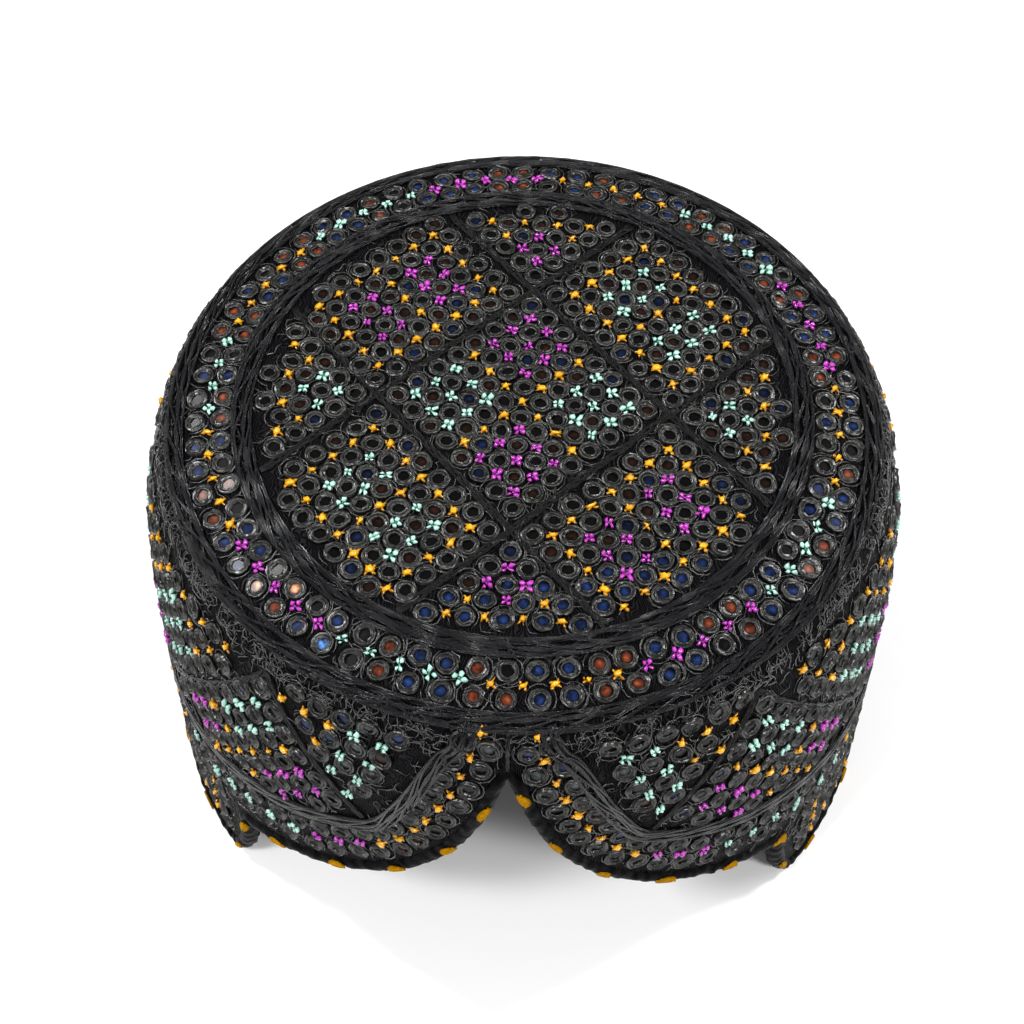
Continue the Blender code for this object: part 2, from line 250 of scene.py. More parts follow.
def on_cloth(u, v, lift=0.0):
    """Point at (u, v): the section's radius and depth turned to the azimuth, then lifted along the normal."""
    u, v, lift = np.broadcast_arrays(u, v, lift)
    angle = u / MEAN_RADIUS
    radius = np.where(v < 0, CROWN_RADIUS + v, np.interp(v, RUN, RADIUS))
    depth = np.where(v < 0, -crown_rise(radius), np.interp(v, RUN, DEPTH))
    place = np.stack([radius * np.sin(angle), AXIS_Y - radius * np.cos(angle), HEIGHT - depth], -1)
    return place + cloth_normal(u, v) * lift[..., None]


def up_normal(x, y):
    """The crown's normal at (x, y) from its centre: straight up, then leaning out towards the seam."""
    x, y = np.broadcast_arrays(x, y)
    radius = np.maximum(np.hypot(x, y), 1e-9)
    out, up = crown_normal(radius)
    return np.stack([out * x / radius, out * y / radius, up], -1)


def on_crown(x, y, lift=0.0):
    """Point on the crown at (x, y) from its centre: the crown's rise there, then lifted along the normal."""
    x, y, lift = np.broadcast_arrays(x, y, lift)
    place = np.stack([x, y + AXIS_Y, HEIGHT + crown_rise(np.hypot(x, y))], -1)
    return place + up_normal(x, y) * lift[..., None]


def ripple(points, size, seed, waves=9):
    """Smooth unevenness from -1 to 1: a mean of sine waves of one length in seeded directions."""
    dice = np.random.default_rng(seed)
    heading = unit(dice.normal(size=(waves, 3))) * (2 * math.pi / size)
    phase = dice.uniform(0, 2 * math.pi, waves)
    return np.sin(points @ heading.T + phase).mean(-1) * 1.8


def hem_depth(azimuth):
    """Depth of the lower edge: a notch, an exponential lobe, and a rounded step to the sides."""
    a = np.abs(azimuth)
    lobe = NOTCH_DEPTH + LOBE_DROP * (1.0 - np.exp(-a / LOBE_SPREAD)) + LOBE_SLOPE * a
    corner = NOTCH_DEPTH + LOBE_DROP * (1.0 - math.exp(-LOBE_END / LOBE_SPREAD)) + LOBE_SLOPE * LOBE_END
    left = np.clip((SIDE_START - a) / (SIDE_START - LOBE_END), 0.0, 1.0)
    return np.where(a < LOBE_END, lobe, corner + (HEIGHT - corner) * np.sqrt(1.0 - left**2))


def hem_edge(step):
    """Even stations round the whole hem: u, v and the smoothed direction into the cloth at each."""
    azimuth = np.concatenate([np.arange(0.0, LOBE_END, 0.05),
                              LOBE_END + np.linspace(0, 1, 400)**2 * (SIDE_START - LOBE_END),
                              np.arange(SIDE_START, 180.0, 0.05)[1:]])
    across, down = np.radians(azimuth) * MEAN_RADIUS, run_at(hem_depth(azimuth))
    length = np.concatenate([[0.0], np.cumsum(np.hypot(np.diff(across), np.diff(down)))])
    fine = np.arange(0.0, length[-1], FINE_STEP)
    across, down = np.interp(fine, length, across), np.interp(fine, length, down)
    heading = np.unwrap(np.arctan2(np.gradient(-down), np.gradient(across)))
    half = int(CORNER_WINDOW / FINE_STEP)
    padded = np.concatenate([-heading[half:0:-1], heading, np.full(half, heading[-1])])
    smooth = np.convolve(padded, np.ones(2 * half + 1) / (2 * half + 1), "valid")
    pick = np.linspace(0.0, fine[-1], int(fine[-1] / step))
    into = np.interp(pick, fine, smooth) + math.pi / 2
    u, v = np.interp(pick, fine, across), np.interp(pick, fine, down)
    right = np.stack([u, v, np.cos(into), -np.sin(into)], 1)
    left = right[:0:-1] * (-1.0, 1.0, -1.0, 1.0)
    left[:, 0] += 2 * math.pi * MEAN_RADIUS
    return np.concatenate([right, left])


def smooth_route(table, step):
    """A Catmull-Rom curve through (azimuth, depth) rows, as even stations in u and v."""
    knots = np.array(table)
    ahead = np.concatenate([knots[1:], knots[-1:] * 2 - knots[-2:-1]])
    behind = np.concatenate([knots[:1] * 2 - knots[1:2], knots[:-1]])
    t = np.linspace(0.0, 1.0, 24, endpoint=False)[None, :, None]
    p0, p1, p2, p3 = (a[:-1, None] for a in (behind, knots, ahead, np.concatenate([ahead[1:], ahead[-1:]])))
    line = 0.5 * (2 * p1 + (p2 - p0) * t + (2 * p0 - 5 * p1 + 4 * p2 - p3) * t**2
                  + (3 * p1 - p0 - 3 * p2 + p3) * t**3)
    line = np.concatenate([line.reshape(-1, 2), knots[-1:]])
    u, v = np.radians(line[:, 0]) * MEAN_RADIUS, run_at(line[:, 1])
    length = np.concatenate([[0.0], np.cumsum(np.hypot(np.diff(u), np.diff(v)))])
    even = np.linspace(0.0, length[-1], int(length[-1] / step))
    return np.stack([np.interp(even, length, u), np.interp(even, length, v)], 1)


ARCH_LINE = smooth_route(ARCH_ROUTE, LINE_STEP)
HEM_EDGE = hem_edge(LINE_STEP)


def gap_to(line, spots):
    """Distance from each spot to the nearest point of a line in the (u, v) plane."""
    if len(spots) > 2000:
        return np.concatenate([gap_to(line, part) for part in np.array_split(spots, len(spots) // 1500)])
    return np.sqrt(((spots[:, None] - line[None]) ** 2).sum(-1)).min(1)


def folded(spots):
    """Spots brought to the right half of the cap: u becomes its distance from the notch line."""
    turn = 2 * math.pi * MEAN_RADIUS
    u = (spots[:, 0] + turn / 2) % turn - turn / 2
    return np.stack([np.abs(u), spots[:, 1]], 1)


def inside_arch(spots, clear):
    """True above the arch braid and at least a clearance away from it."""
    half = folded(spots)
    above = half[:, 1] < np.interp(half[:, 0], ARCH_LINE[:, 0], ARCH_LINE[:, 1])
    return above & (half[:, 0] > ARCH_LINE[0, 0]) & (gap_to(ARCH_LINE, half) > clear)


# Materials

def new_material(name):
    """An empty node material with a Principled shader and the object's own coordinates."""
    material = bpy.data.materials.new(name)
    material.use_nodes = True
    tree = material.node_tree
    shader = tree.nodes["Principled BSDF"]
    place = tree.nodes.new("ShaderNodeTexCoord")
    return material, tree, shader, place


def ramp(tree, source, stops):
    """A colour ramp fed by a factor, with (position, colour) stops."""
    node = tree.nodes.new("ShaderNodeValToRGB")
    while len(node.color_ramp.elements) < len(stops):
        node.color_ramp.elements.new(0.5)
    for element, (position, colour) in zip(node.color_ramp.elements, stops):
        element.position = position
        element.color = (*colour, 1.0)
    tree.links.new(source, node.inputs["Fac"])
    return node.outputs["Color"]


def noise(tree, vector, scale):
    """A noise factor at a scale."""
    node = tree.nodes.new("ShaderNodeTexNoise")
    node.inputs["Scale"].default_value = scale
    node.inputs["Detail"].default_value = 3.0
    node.inputs["Roughness"].default_value = 0.6
    tree.links.new(vector, node.inputs["Vector"])
    return node.outputs["Fac"]


def bump(tree, shader, height, strength, distance, before=None):
    """A bump from a height, on top of another one if given."""
    node = tree.nodes.new("ShaderNodeBump")
    node.inputs["Strength"].default_value = strength
    node.inputs["Distance"].default_value = distance
    tree.links.new(height, node.inputs["Height"])
    if before is not None:
        tree.links.new(before, node.inputs["Normal"])
    tree.links.new(node.outputs["Normal"], shader.inputs["Normal"])
    return node.outputs["Normal"]


def mixed(tree, first, second):
    """The product of two colours."""
    node = tree.nodes.new("ShaderNodeMix")
    node.data_type = "RGBA"
    node.blend_type = "MULTIPLY"
    node.inputs["Factor"].default_value = 1.0
    tree.links.new(first, node.inputs["A"])
    tree.links.new(second, node.inputs["B"])
    return node.outputs["Result"]


def thread_material(name, dark, light, roughness, fibres=(0.0, 0.0), tinted=False, grain=1400.0, gloss=0.3,
                    section=(), relief=0.00007, bend=1.5):
    """Twisted thread: mottled colour, fine fibres that follow the piece's UV map, and a soft gloss.

    fibres gives how many fibres lie round a strand and how many turns they make along one UV length.
    section gives the lightness at places across a ring, which paints shade into its grooves and feet.
    bend is the refractive index, which is low where thread should stay dark against a bright floor.
    """
    material, tree, shader, place = new_material(name)
    mottle = noise(tree, place.outputs["Object"], grain)
    colour = ramp(tree, mottle, ((0.30, dark), (0.72, light)))
    shader.inputs["Roughness"].default_value = roughness
    shader.inputs["Specular IOR Level"].default_value = gloss
    shader.inputs["IOR"].default_value = bend
    if tinted:
        tint = tree.nodes.new("ShaderNodeAttribute")
        tint.attribute_name = "tint"
        colour = mixed(tree, colour, tint.outputs["Color"])
    rough = bump(tree, shader, mottle, 1.0, relief)
    if fibres[0]:
        turn = tree.nodes.new("ShaderNodeMapping")
        turn.inputs["Scale"].default_value = (fibres[0], fibres[1], 1.0)
        tree.links.new(place.outputs["UV"], turn.inputs["Vector"])
        wave = tree.nodes.new("ShaderNodeTexWave")
        wave.wave_type = "BANDS"
        wave.bands_direction = "DIAGONAL" if fibres[1] else "X"
        wave.inputs["Scale"].default_value = 1.0
        wave.inputs["Distortion"].default_value = 1.2
        wave.inputs["Detail"].default_value = 2.0
        tree.links.new(turn.outputs["Vector"], wave.inputs["Vector"])
        bump(tree, shader, wave.outputs["Fac"], 0.8, 0.00022, rough)
        colour = mixed(tree, colour, ramp(tree, wave.outputs["Fac"], ((0.0, (0.25,) * 3), (0.8, (1.0,) * 3))))
    # Painted shade in a ring's grooves and at its feet, by place across it
    if section:
        split = tree.nodes.new("ShaderNodeSeparateXYZ")
        tree.links.new(place.outputs["UV"], split.inputs["Vector"])
        colour = mixed(tree, colour, ramp(tree, split.outputs["Y"], [(at, (v, v, v)) for at, v in section]))
    tree.links.new(colour, shader.inputs["Base Color"])
    return material


def cloth_material(name, dark, light):
    """Ground worked all over in fine thread: short winding strands of lighter and darker black."""
    material, tree, shader, place = new_material(name)
    warp = tree.nodes.new("ShaderNodeTexNoise")
    warp.inputs["Scale"].default_value = 260.0
    warp.inputs["Detail"].default_value = 1.0
    tree.links.new(place.outputs["Object"], warp.inputs["Vector"])
    bend = tree.nodes.new("ShaderNodeMix")
    bend.data_type = "VECTOR"
    bend.inputs["Factor"].default_value = 0.006
    tree.links.new(place.outputs["Object"], bend.inputs["A"])
    tree.links.new(warp.outputs["Color"], bend.inputs["B"])
    wave = tree.nodes.new("ShaderNodeTexWave")
    wave.inputs["Scale"].default_value = 420.0
    wave.inputs["Distortion"].default_value = 5.0
    wave.inputs["Detail"].default_value = 2.0
    tree.links.new(bend.outputs["Result"], wave.inputs["Vector"])
    mottle = noise(tree, place.outputs["Object"], 700.0)
    shade = ramp(tree, wave.outputs["Fac"], ((0.15, dark), (0.95, light)))
    patch = ramp(tree, mottle, ((0.35, (0.5, 0.5, 0.5)), (0.7, (1.0, 1.0, 1.0))))
    tree.links.new(mixed(tree, shade, patch), shader.inputs["Base Color"])
    shader.inputs["Roughness"].default_value = 0.50
    shader.inputs["Specular IOR Level"].default_value = 0.12
    shader.inputs["IOR"].default_value = 1.2
    rough = bump(tree, shader, wave.outputs["Fac"], 0.8, 0.0004)
    bump(tree, shader, mottle, 0.3, 0.0003, rough)
    return material


def mirror_material(name):
    """Small dark mirror glass: the tint as painted reflection, broken by noise into dark and bright painted
    reflection patches, a clear gloss and faint scratches.
    """
    material, tree, shader, place = new_material(name)
    tint = tree.nodes.new("ShaderNodeAttribute")
    tint.attribute_name = "tint"
    # Noise patches of painted reflection, dark and bright, over the tint
    cloud = noise(tree, place.outputs["Object"], 700.0)
    shade = ramp(tree, cloud, ((0.35, (0.15, 0.15, 0.15)), (0.65, (1.0, 1.0, 1.0))))
    tree.links.new(mixed(tree, tint.outputs["Color"], shade), shader.inputs["Base Color"])
    shader.inputs["Roughness"].default_value = 0.25
    shader.inputs["Specular IOR Level"].default_value = 0.15
    bump(tree, shader, noise(tree, place.outputs["Object"], 500.0), 0.10, 0.0002)
    return material


# Meshes

def make_piece(name, points, faces, material, uvs=None, tint=None, replaces=(), smooth=True):
    """A mesh object at the origin from arrays, kept above the floor, riding on the cap's one body."""
    mesh = bpy.data.meshes.new(name)
    faces = [face for group in faces for face in np.asarray(group).tolist()]
    points = np.maximum(np.asarray(points, float).reshape(-1, 3), (-9.0, -9.0, 0.0))
    mesh.from_pydata(points.tolist(), [], faces)
    if uvs is not None:
        layer = mesh.uv_layers.new(name="UVMap")
        layer.data.foreach_set("uv", np.concatenate([np.asarray(g, np.float32).ravel() for g in uvs]))
    if tint is not None:
        layer = mesh.color_attributes.new(name="tint", type="FLOAT_COLOR", domain="POINT")
        colours = np.ones((len(mesh.vertices), 4), np.float32)
        colours[:, :3] = np.asarray(tint).reshape(-1, 3)
        layer.data.foreach_set("color", colours.ravel())
    if smooth:
        mesh.shade_smooth()
    mesh.materials.append(material)
    mesh.update()
    piece = bpy.data.objects.new(name, mesh)
    bpy.context.scene.collection.objects.link(piece)
    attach(piece, "root")
    if replaces:
        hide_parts(*replaces)
    return piece


def grid_faces(rows, columns, close_rows=False, close_columns=False):
    """Quads of a grid of points numbered row by row; either way round may close on itself."""
    i = np.arange(rows if close_rows else rows - 1)[:, None]
    k = np.arange(columns if close_columns else columns - 1)[None, :]
    j, n = (i + 1) % rows, (k + 1) % columns
    here, ahead = i * columns, j * columns
    return np.stack(np.broadcast_arrays(here + k, ahead + k, ahead + n, here + n), -1)


def tube_mesh(centres, normals, radius, sides, looped=False):
    """Round strands: centre + radius x (cosine x side + sine x normal) at each station, with flat ends.

    centres and normals are (strands, stations, 3) and radius is (strands, stations).
    Returns points, a list of face arrays and the UVs of the sides: once round, and metres / 10 mm along.
    """
    count, stations = centres.shape[:2]
    if looped:
        ahead, behind = np.roll(centres, -1, 1), np.roll(centres, 1, 1)
        tangent = unit(ahead - behind)
    else:
        tangent = unit(np.gradient(centres, axis=1))
    side = unit(np.cross(tangent, normals))
    over = np.cross(side, tangent)
    t = np.arange(sides) * 2 * math.pi / sides
    ring = np.cos(t)[:, None] * side[:, :, None] + np.sin(t)[:, None] * over[:, :, None]
    points = centres[:, :, None] + ring * radius[:, :, None, None]
    one = grid_faces(stations, sides, looped, True).reshape(-1, 4)
    shift = (np.arange(count) * stations * sides)[:, None, None]
    walls = (one[None] + shift).reshape(-1, 4)
    step = np.linalg.norm(np.diff(centres, axis=1), axis=-1)
    along = np.concatenate([np.zeros((count, 1)), np.cumsum(step, 1)], 1) / UV_LENGTH
    rows = stations if looped else stations - 1
    last = np.concatenate([along, along[:, -1:] * stations / (stations - 1)], 1)
    low, high = last[:, :rows, None], last[:, 1:rows + 1, None]
    u0 = (np.arange(sides) / sides)[None, None]
    u1 = u0 + 1 / sides
    corners = [np.stack(np.broadcast_arrays(a, b), -1)
               for a, b in ((u0, low), (u0, high), (u1, high), (u1, low))]
    uvs = [np.stack(corners, -2).reshape(-1, 2)]
    faces = [walls]
    if not looped:
        start = np.arange(sides)
        end = (stations - 1) * sides + np.arange(sides)[::-1]
        caps = (np.stack([start, end])[None] + shift).reshape(-1, sides)
        faces.append(caps)
        uvs.append(np.zeros((caps.size, 2)))
    return points.reshape(-1, 3), faces, uvs


def joined(parts):
    """Several meshes as one: (points, faces, uvs) of each, with the faces' numbers moved along."""
    points, faces, uvs, start = [], [], [], 0
    for p, f, t in parts:
        points.append(p)
        faces += [g + start for g in f]
        uvs += t
        start += len(p)
    return np.concatenate(points), faces, uvs


def twisted_cord(line, surface, normal, half, height, pitch, strands, strand, looped=False):
    """A flat plait of thin strands that wind slowly round an oval about the middle line.

    Each strand lies at (half - radius) x cosine across the line and height / 2 x sine off the cloth.
    """
    if looped:
        tangent = unit(np.roll(line, -1, 0) - np.roll(line, 1, 0))
    else:
        tangent = unit(np.gradient(line, axis=0))
    step = np.linalg.norm(np.diff(line, axis=0), axis=1)
    along = np.concatenate([[0.0], np.cumsum(step)])
    if looped:
        whole = along[-1] + np.linalg.norm(line[0] - line[-1])
        pitch = whole / round(whole / pitch)
    turn = 2 * math.pi * (along / pitch + np.arange(strands)[:, None] / strands)
    turn = turn + 0.35 * np.sin(along / 0.0041 + 2.4 * np.arange(strands)[:, None])
    shift = (half - strand) * np.cos(turn)
    lift = height / 2 + (height / 2 - strand * 0.8) * np.sin(turn)
    centres = surface(line[:, 0] - tangent[:, 1] * shift, line[:, 1] + tangent[:, 0] * shift, lift)
    rough = 1.0 + 0.12 * ripple(centres, 0.003, 5)
    middle = np.broadcast_to(normal(line[:, 0], line[:, 1]), centres.shape)
    return tube_mesh(centres, middle, strand * rough, STRAND_SIDES, looped)


def round_cloth(line, half, height, pitch, strands, strand):
    """A plait on the wall that meets itself after a whole turn of u, with strands laid as in twisted_cord."""
    whole = 2 * math.pi * MEAN_RADIUS
    pitch = whole / round(whole / pitch)
    turn = 2 * math.pi * (line[:, 0] / pitch + np.arange(strands)[:, None] / strands)
    waves = np.round(whole / 0.026) * line[:, 0] / MEAN_RADIUS
    turn = turn + 0.35 * np.sin(waves + 2.4 * np.arange(strands)[:, None])
    lift = height / 2 + (height / 2 - strand * 0.8) * np.sin(turn)
    v = line[:, 1] + (half - strand) * np.cos(turn)
    u = np.broadcast_to(line[:, 0], v.shape)
    centres = on_cloth(u, v, lift)
    rough = 1.0 + 0.12 * ripple(centres, 0.003, 6)
    return tube_mesh(centres, cloth_normal(u, v), strand * rough, STRAND_SIDES, True)


def spots_on(surface, normal, spots):
    """The origin, across and outward directions of each spot."""
    origin = surface(spots[:, 0], spots[:, 1], 0.0)
    nudge = surface(spots[:, 0] + 0.0002, spots[:, 1], 0.0)
    outward = normal(spots[:, 0], spots[:, 1])
    across = unit(nudge - origin)
    return origin, across, outward


def stamp(shape, spots, seed, size=0.05, lean=0.07, turned=True, rough=0.0):
    """Copies of one small shape: x across, y along and z off the cloth at each spot.

    Each copy is turned, sized and leaned by a seeded amount, and rough moves every point a little.
    """
    dice = np.random.default_rng(seed)
    origin, across, outward = spots
    count = len(origin)
    outward = unit(outward + dice.normal(0, lean, (count, 3)))
    across = unit(across - outward * (across * outward).sum(-1, keepdims=True))
    along = np.cross(outward, across)
    scale = 1.0 + dice.normal(0, size, (count, 1, 3)).clip(-2 * size, 2 * size)
    local = shape[None] * scale + dice.normal(0, 1, (count, len(shape), 3)) * rough
    turn = dice.uniform(0, 2 * math.pi, count) if turned else dice.normal(0, 0.28, count)
    c, s = np.cos(turn)[:, None], np.sin(turn)[:, None]
    x = local[..., 0] * c - local[..., 1] * s
    y = local[..., 0] * s + local[..., 1] * c
    world = (origin[:, None] + x[..., None] * across[:, None] + y[..., None] * along[:, None]
             + local[..., 2:] * outward[:, None])
    return world.reshape(-1, 3)


def repeated(faces, size, count):
    """A shape's faces once for each copy."""
    shift = (np.arange(count) * size)[:, None, None]
    return (np.asarray(faces)[None] + shift).reshape(-1, np.shape(faces)[-1])


def ring_shape(outer, height):
    """A wrapped ring: a section with two beads and a groove between them, turned round the centre."""
    section = np.array([(1.00, -0.30), (0.86, 1.00), (0.70, 0.30), (0.56, 0.92), (0.42, -0.10)])
    around = 12
    angle = np.arange(around)[:, None] * 2 * math.pi / around
    reach = section[:, 0] * outer
    points = np.stack([reach * np.cos(angle), reach * np.sin(angle), 0 * angle + section[:, 1] * height], -1)
    faces = grid_faces(around, len(section), True, True).reshape(-1, 4)
    i, k = np.divmod(np.arange(len(faces)), len(section))
    u0, u1, v0, v1 = i / around, (i + 1) / around, k / len(section), (k + 1) / len(section)
    uvs = np.stack([np.stack([u0, v0], -1), np.stack([u1, v0], -1), np.stack([u1, v1], -1),
                    np.stack([u0, v1], -1)], 1)
    return points.reshape(-1, 3), faces, uvs


def bead(centre, long_way, long_reach, reach):
    """A bead with two rings of four points, behind and ahead of its middle, and tips at +-long reach."""
    sides = 4
    way = unit(np.array(long_way, float))
    other = unit(np.cross(way, (0.0, 0.0, 1.0)) + (1e-9, 0.0, 0.0))
    third = np.cross(way, other)
    t = np.arange(sides) * 2 * math.pi / sides + math.pi / 4
    circle = (np.cos(t)[:, None] * other + np.sin(t)[:, None] * third) * reach
    rings = [np.array(centre) + way * long_reach * at + circle * wide
             for at, wide in ((-0.45, 0.85), (0.35, 1.0))]
    tips = [np.array(centre) - way * long_reach, np.array(centre) + way * long_reach]
    points = np.concatenate([rings[0], rings[1], np.array(tips)])
    k = np.arange(sides)
    n = (k + 1) % sides
    quads = np.stack([k, n, n + sides, k + sides], -1)
    ends = np.concatenate([np.stack([n, k, 0 * k + 2 * sides], -1),
                           np.stack([k + sides, n + sides, 0 * k + 2 * sides + 1], -1)])
    return points, quads, ends


def bead_cluster(beads):
    """Several beads as one shape, with a lightness for each point that paints shade on the lower beads."""
    points, quads, ends, light, start = [], [], [], [], 0
    for centre, way, long_reach, reach, shade in beads:
        p, q, e = bead(centre, way, long_reach, reach)
        points.append(p)
        quads.append(q + start)
        ends.append(e + start)
        light.append(np.full(len(p), shade))
        start += len(p)
    return np.concatenate(points), np.concatenate(quads), np.concatenate(ends), np.concatenate(light)


def petal_shape(size):
    """Four round beads close about a low one in painted shade: a cross of four stitches seen end on."""
    s = size
    beads = [((x * 0.47 * s, y * 0.47 * s, 0.52 * s), (x, y, 0.15),
              (0.49 + 0.06 * x) * s, (0.40 + 0.05 * y) * s, 1.0)
             for x in (-1, 1) for y in (-1, 1)]
    beads.append(((0, 0, 0.45 * s), (1, 0.1, 0), 0.34 * s, 0.30 * s, 0.0))
    return bead_cluster(beads)


def knot_shape(size):
    """One broad bright bead in the middle with four short lower arms, duller by painted shade."""
    s = size
    beads = [((x * 0.45 * s, y * 0.45 * s, 0.40 * s), (x, y, -0.15), (0.52 + 0.06 * x) * s, 0.22 * s, 0.42)
             for x in (-1, 1) for y in (-1, 1)]
    beads.append(((0, 0, 0.60 * s), (1, 0.3, 0.1), 0.74 * s, 0.54 * s, 1.0))
    return bead_cluster(beads)


# Layout of the stitches

def medallion_places(pitch):
    """Rings and stitches of the crown's medallion: nine panels of rings on a square net, cut to a circle."""
    cells = np.arange(8) - 3.5
    stitches = np.arange(7) - 3.0
    rings = [np.stack(np.meshgrid(cells, cells), -1).reshape(-1, 2)]
    p, q = (a.ravel() for a in np.meshgrid(stitches, stitches))
    cross = (p == 0) | (q == 0)
    back, front = (p < 0) & (q > 0), (p > 0) & (q < 0)
    colour = np.where(cross, "orange", np.where(back | front, "magenta", "mint"))
    places, colours = [np.stack([p, q], 1)], [colour]
    for axis, way, gap, shift, thread in PANEL_GAPS:
        out = way * (2.5 + gap + np.arange(6))
        side = cells + shift
        a, b = (g.ravel() for g in np.meshgrid(out, side))
        rings.append(np.stack([a, b] if axis == 0 else [b, a], 1))
        r, t = (g.ravel() for g in np.meshgrid(np.arange(5), np.arange(7)))
        a, b = way * (3 + gap + r), t - 3 + shift
        places.append(np.stack([a, b] if axis == 0 else [b, a], 1))
        colours.append(np.where((t % 3 == 0) | (r % 4 == 0), "orange", thread))
    for (pw, qw), thread in CORNER_COLOURS.items():
        p_gap = PANEL_GAPS[0][2] if pw < 0 else PANEL_GAPS[3][2]
        q_gap = PANEL_GAPS[1][2] if qw > 0 else PANEL_GAPS[2][2]
        i, j = (g.ravel() for g in np.meshgrid(np.arange(6), np.arange(6)))
        rings.append(np.stack([pw * (2.5 + p_gap + i), qw * (2.5 + q_gap + j)], 1))
        places.append(np.stack([pw * (3 + p_gap + i), qw * (3 + q_gap + j)], 1))
        colours.append(np.where((i < 2) & (j < 2), thread, "orange"))
    ways = np.radians(ROW_ANGLES)
    basis = np.stack([np.cos(ways), np.sin(ways)], 1) * pitch
    rings = np.concatenate(rings) @ basis + MEDALLION_CENTRE
    places = np.concatenate(places) @ basis + MEDALLION_CENTRE
    colours = np.concatenate(colours)
    ring_clear, stitch_clear = 0.0041, 0.0052
    rings = rings[np.hypot(*rings.T) < MEDALLION_RADIUS - ring_clear]
    keep = np.hypot(*places.T) < MEDALLION_RADIUS - stitch_clear
    return rings, places[keep], colours[keep]


def border_places():
    """Two rows of rings round the crown with a stitch between each four; x and y from the crown's centre."""
    k = np.arange(BORDER_STITCHES)
    bearing = np.radians(BORDER_START + k * 360.0 / BORDER_STITCHES)
    between = bearing + math.pi / BORDER_STITCHES
    stitches = np.stack([np.sin(bearing), np.cos(bearing)], 1) * BORDER_RADIUS
    rings = np.concatenate([np.stack([np.sin(between), np.cos(between)], 1) * row for row in BORDER_ROWS])
    colours = np.concatenate([np.full(count, colour) for colour, count in BORDER_RUNS])
    return rings, stitches, colours, np.tile(k, 2)


def net_panel(r_node, r_way, l_node, l_way, marks, reach):
    """One panel of the wall's net, counted from its corner: rings, stitches and the stitches' row numbers.

    A place is named by r and l, the azimuths at which the right-going and the left-going line through it
    leave the crown's edge: its azimuth is (r + l) / 2 and its depth is the net's top + slope x (l - r) / 2.
    marks gives the first stitch and the step in r, then in l; rings stand half a step before the stitches.
    """
    r_first, r_step, l_first, l_step = marks
    j, i = (g.ravel() for g in np.meshgrid(np.arange(9), np.arange(9)))
    found = []
    for half, top, near in ((0.5, 0.0085, 0.25), (0.0, 0.0078, 0.5)):
        r_part, l_part = r_first + r_step * (j - half), l_first + l_step * (i - half)
        r, l = r_node + r_way * r_part * NET_STEP, l_node + l_way * l_part * NET_STEP
        depth = NET_TOP + (l - r) / 2 * NET_SLOPE
        keep = (depth > top) & (depth < 0.075) & (r_part < reach[0] - near) & (l_part < reach[1] - near)
        spots = np.stack([np.radians((r + l) / 2) * MEAN_RADIUS, run_at(depth)], 1)[keep]
        inside = inside_arch(spots, 0.0045 if half else 0.0038)
        found.append((spots[inside], j[keep][inside], i[keep][inside]))
    return found[0][0], *found[1]


def wall_panel_places():
    """Rings and stitches inside the arch braid: a lozenge under each node and the panels between."""
    node = NET_NODES
    rings, places, colours = [], [], []

    def add(panel, paint, mirrored=True):
        """Keep a panel with its colours, and its mirror image on the other side of the notch."""
        spots, stitches, j, i = panel
        for way in (1, -1) if mirrored else (1,):
            turned = (0.0, 0.0) if way > 0 else (2 * math.pi * MEAN_RADIUS, 0.0)
            rings.append(spots * (way, 1) + turned)
            places.append(stitches * (way, 1) + turned)
            colours.append(paint(j, i))

    def crossed(middle_j, middle_i, last):
        """An orange cross and edge, with mint and magenta corners by turns."""
        def paint(j, i):
            """The colour of the stitch in each row and column."""
            orange = (j == middle_j) | (i == middle_i) | (j >= last)
            return np.where(orange, "orange", np.where((j < middle_j) == (i < middle_i), "mint", "magenta"))
        return paint

    def cornered(j, i):
        """Mint in the lower corner and orange above it."""
        return np.where((j < 3) & (i < 3), "mint", "orange")

    add(net_panel(node[0], -1, node[0], 1, (0.75, 0.92, 1.08, 1.12), (12.0, 8.3)), crossed(2, 3, 5))
    for c in (1, 2, 3):
        add(net_panel(node[c], -1, node[c], 1, (1.15, 1.0, 1.15, 1.0), (8.3, 8.3)), crossed(3, 3, 9), c < 3)
    for c in (0, 1, 2):
        marks = (1.18, 0.95, 1.22, 1.08) if c == 0 else (1.2, 1.02, 1.2, 1.02)
        add(net_panel(node[c], 1, node[c + 1], -1, marks, (8.3, 8.3)), cornered)
        add(net_panel(node[c], -1, node[c + 1], 1, (1.15, 1.0, 1.15, 1.0), (8.3, 8.3)), cornered)
    return np.concatenate(rings), np.concatenate(places), np.concatenate(colours)


def front_panel_places(way):
    """Rings and stitches of the panel between the notch and the first band, in level rows."""
    k = np.arange(8)
    step, shift = 0.00645, -0.0011 * way
    rings, places, colours = [], [], []
    for ring_v, ring_u, stitch_v, stitch_u in FRONT_ROWS:
        rings.append(np.stack([ring_u + shift + step * k, 0 * k + ring_v], 1))
        places.append(np.stack([stitch_u + shift + step * k, 0 * k + stitch_v], 1))
        colours.append(np.where(k < 2, "mint", "orange"))
    rings, places, colours = np.concatenate(rings), np.concatenate(places), np.concatenate(colours)

    def before_band(spots, clear):
        """True on the notch's side of the first band, by at least some degrees."""
        depth = np.interp(spots[:, 1], RUN, DEPTH)
        return np.degrees(spots[:, 0] / MEAN_RADIUS) + (depth - NET_TOP) / NET_SLOPE < NET_NODES[0] - clear

    rings = rings[inside_arch(rings, 0.0041) & before_band(rings, 2.6)]
    keep = inside_arch(places, 0.0034) & before_band(places, 1.8)
    return rings * (way, 1), places[keep] * (way, 1), colours[keep]


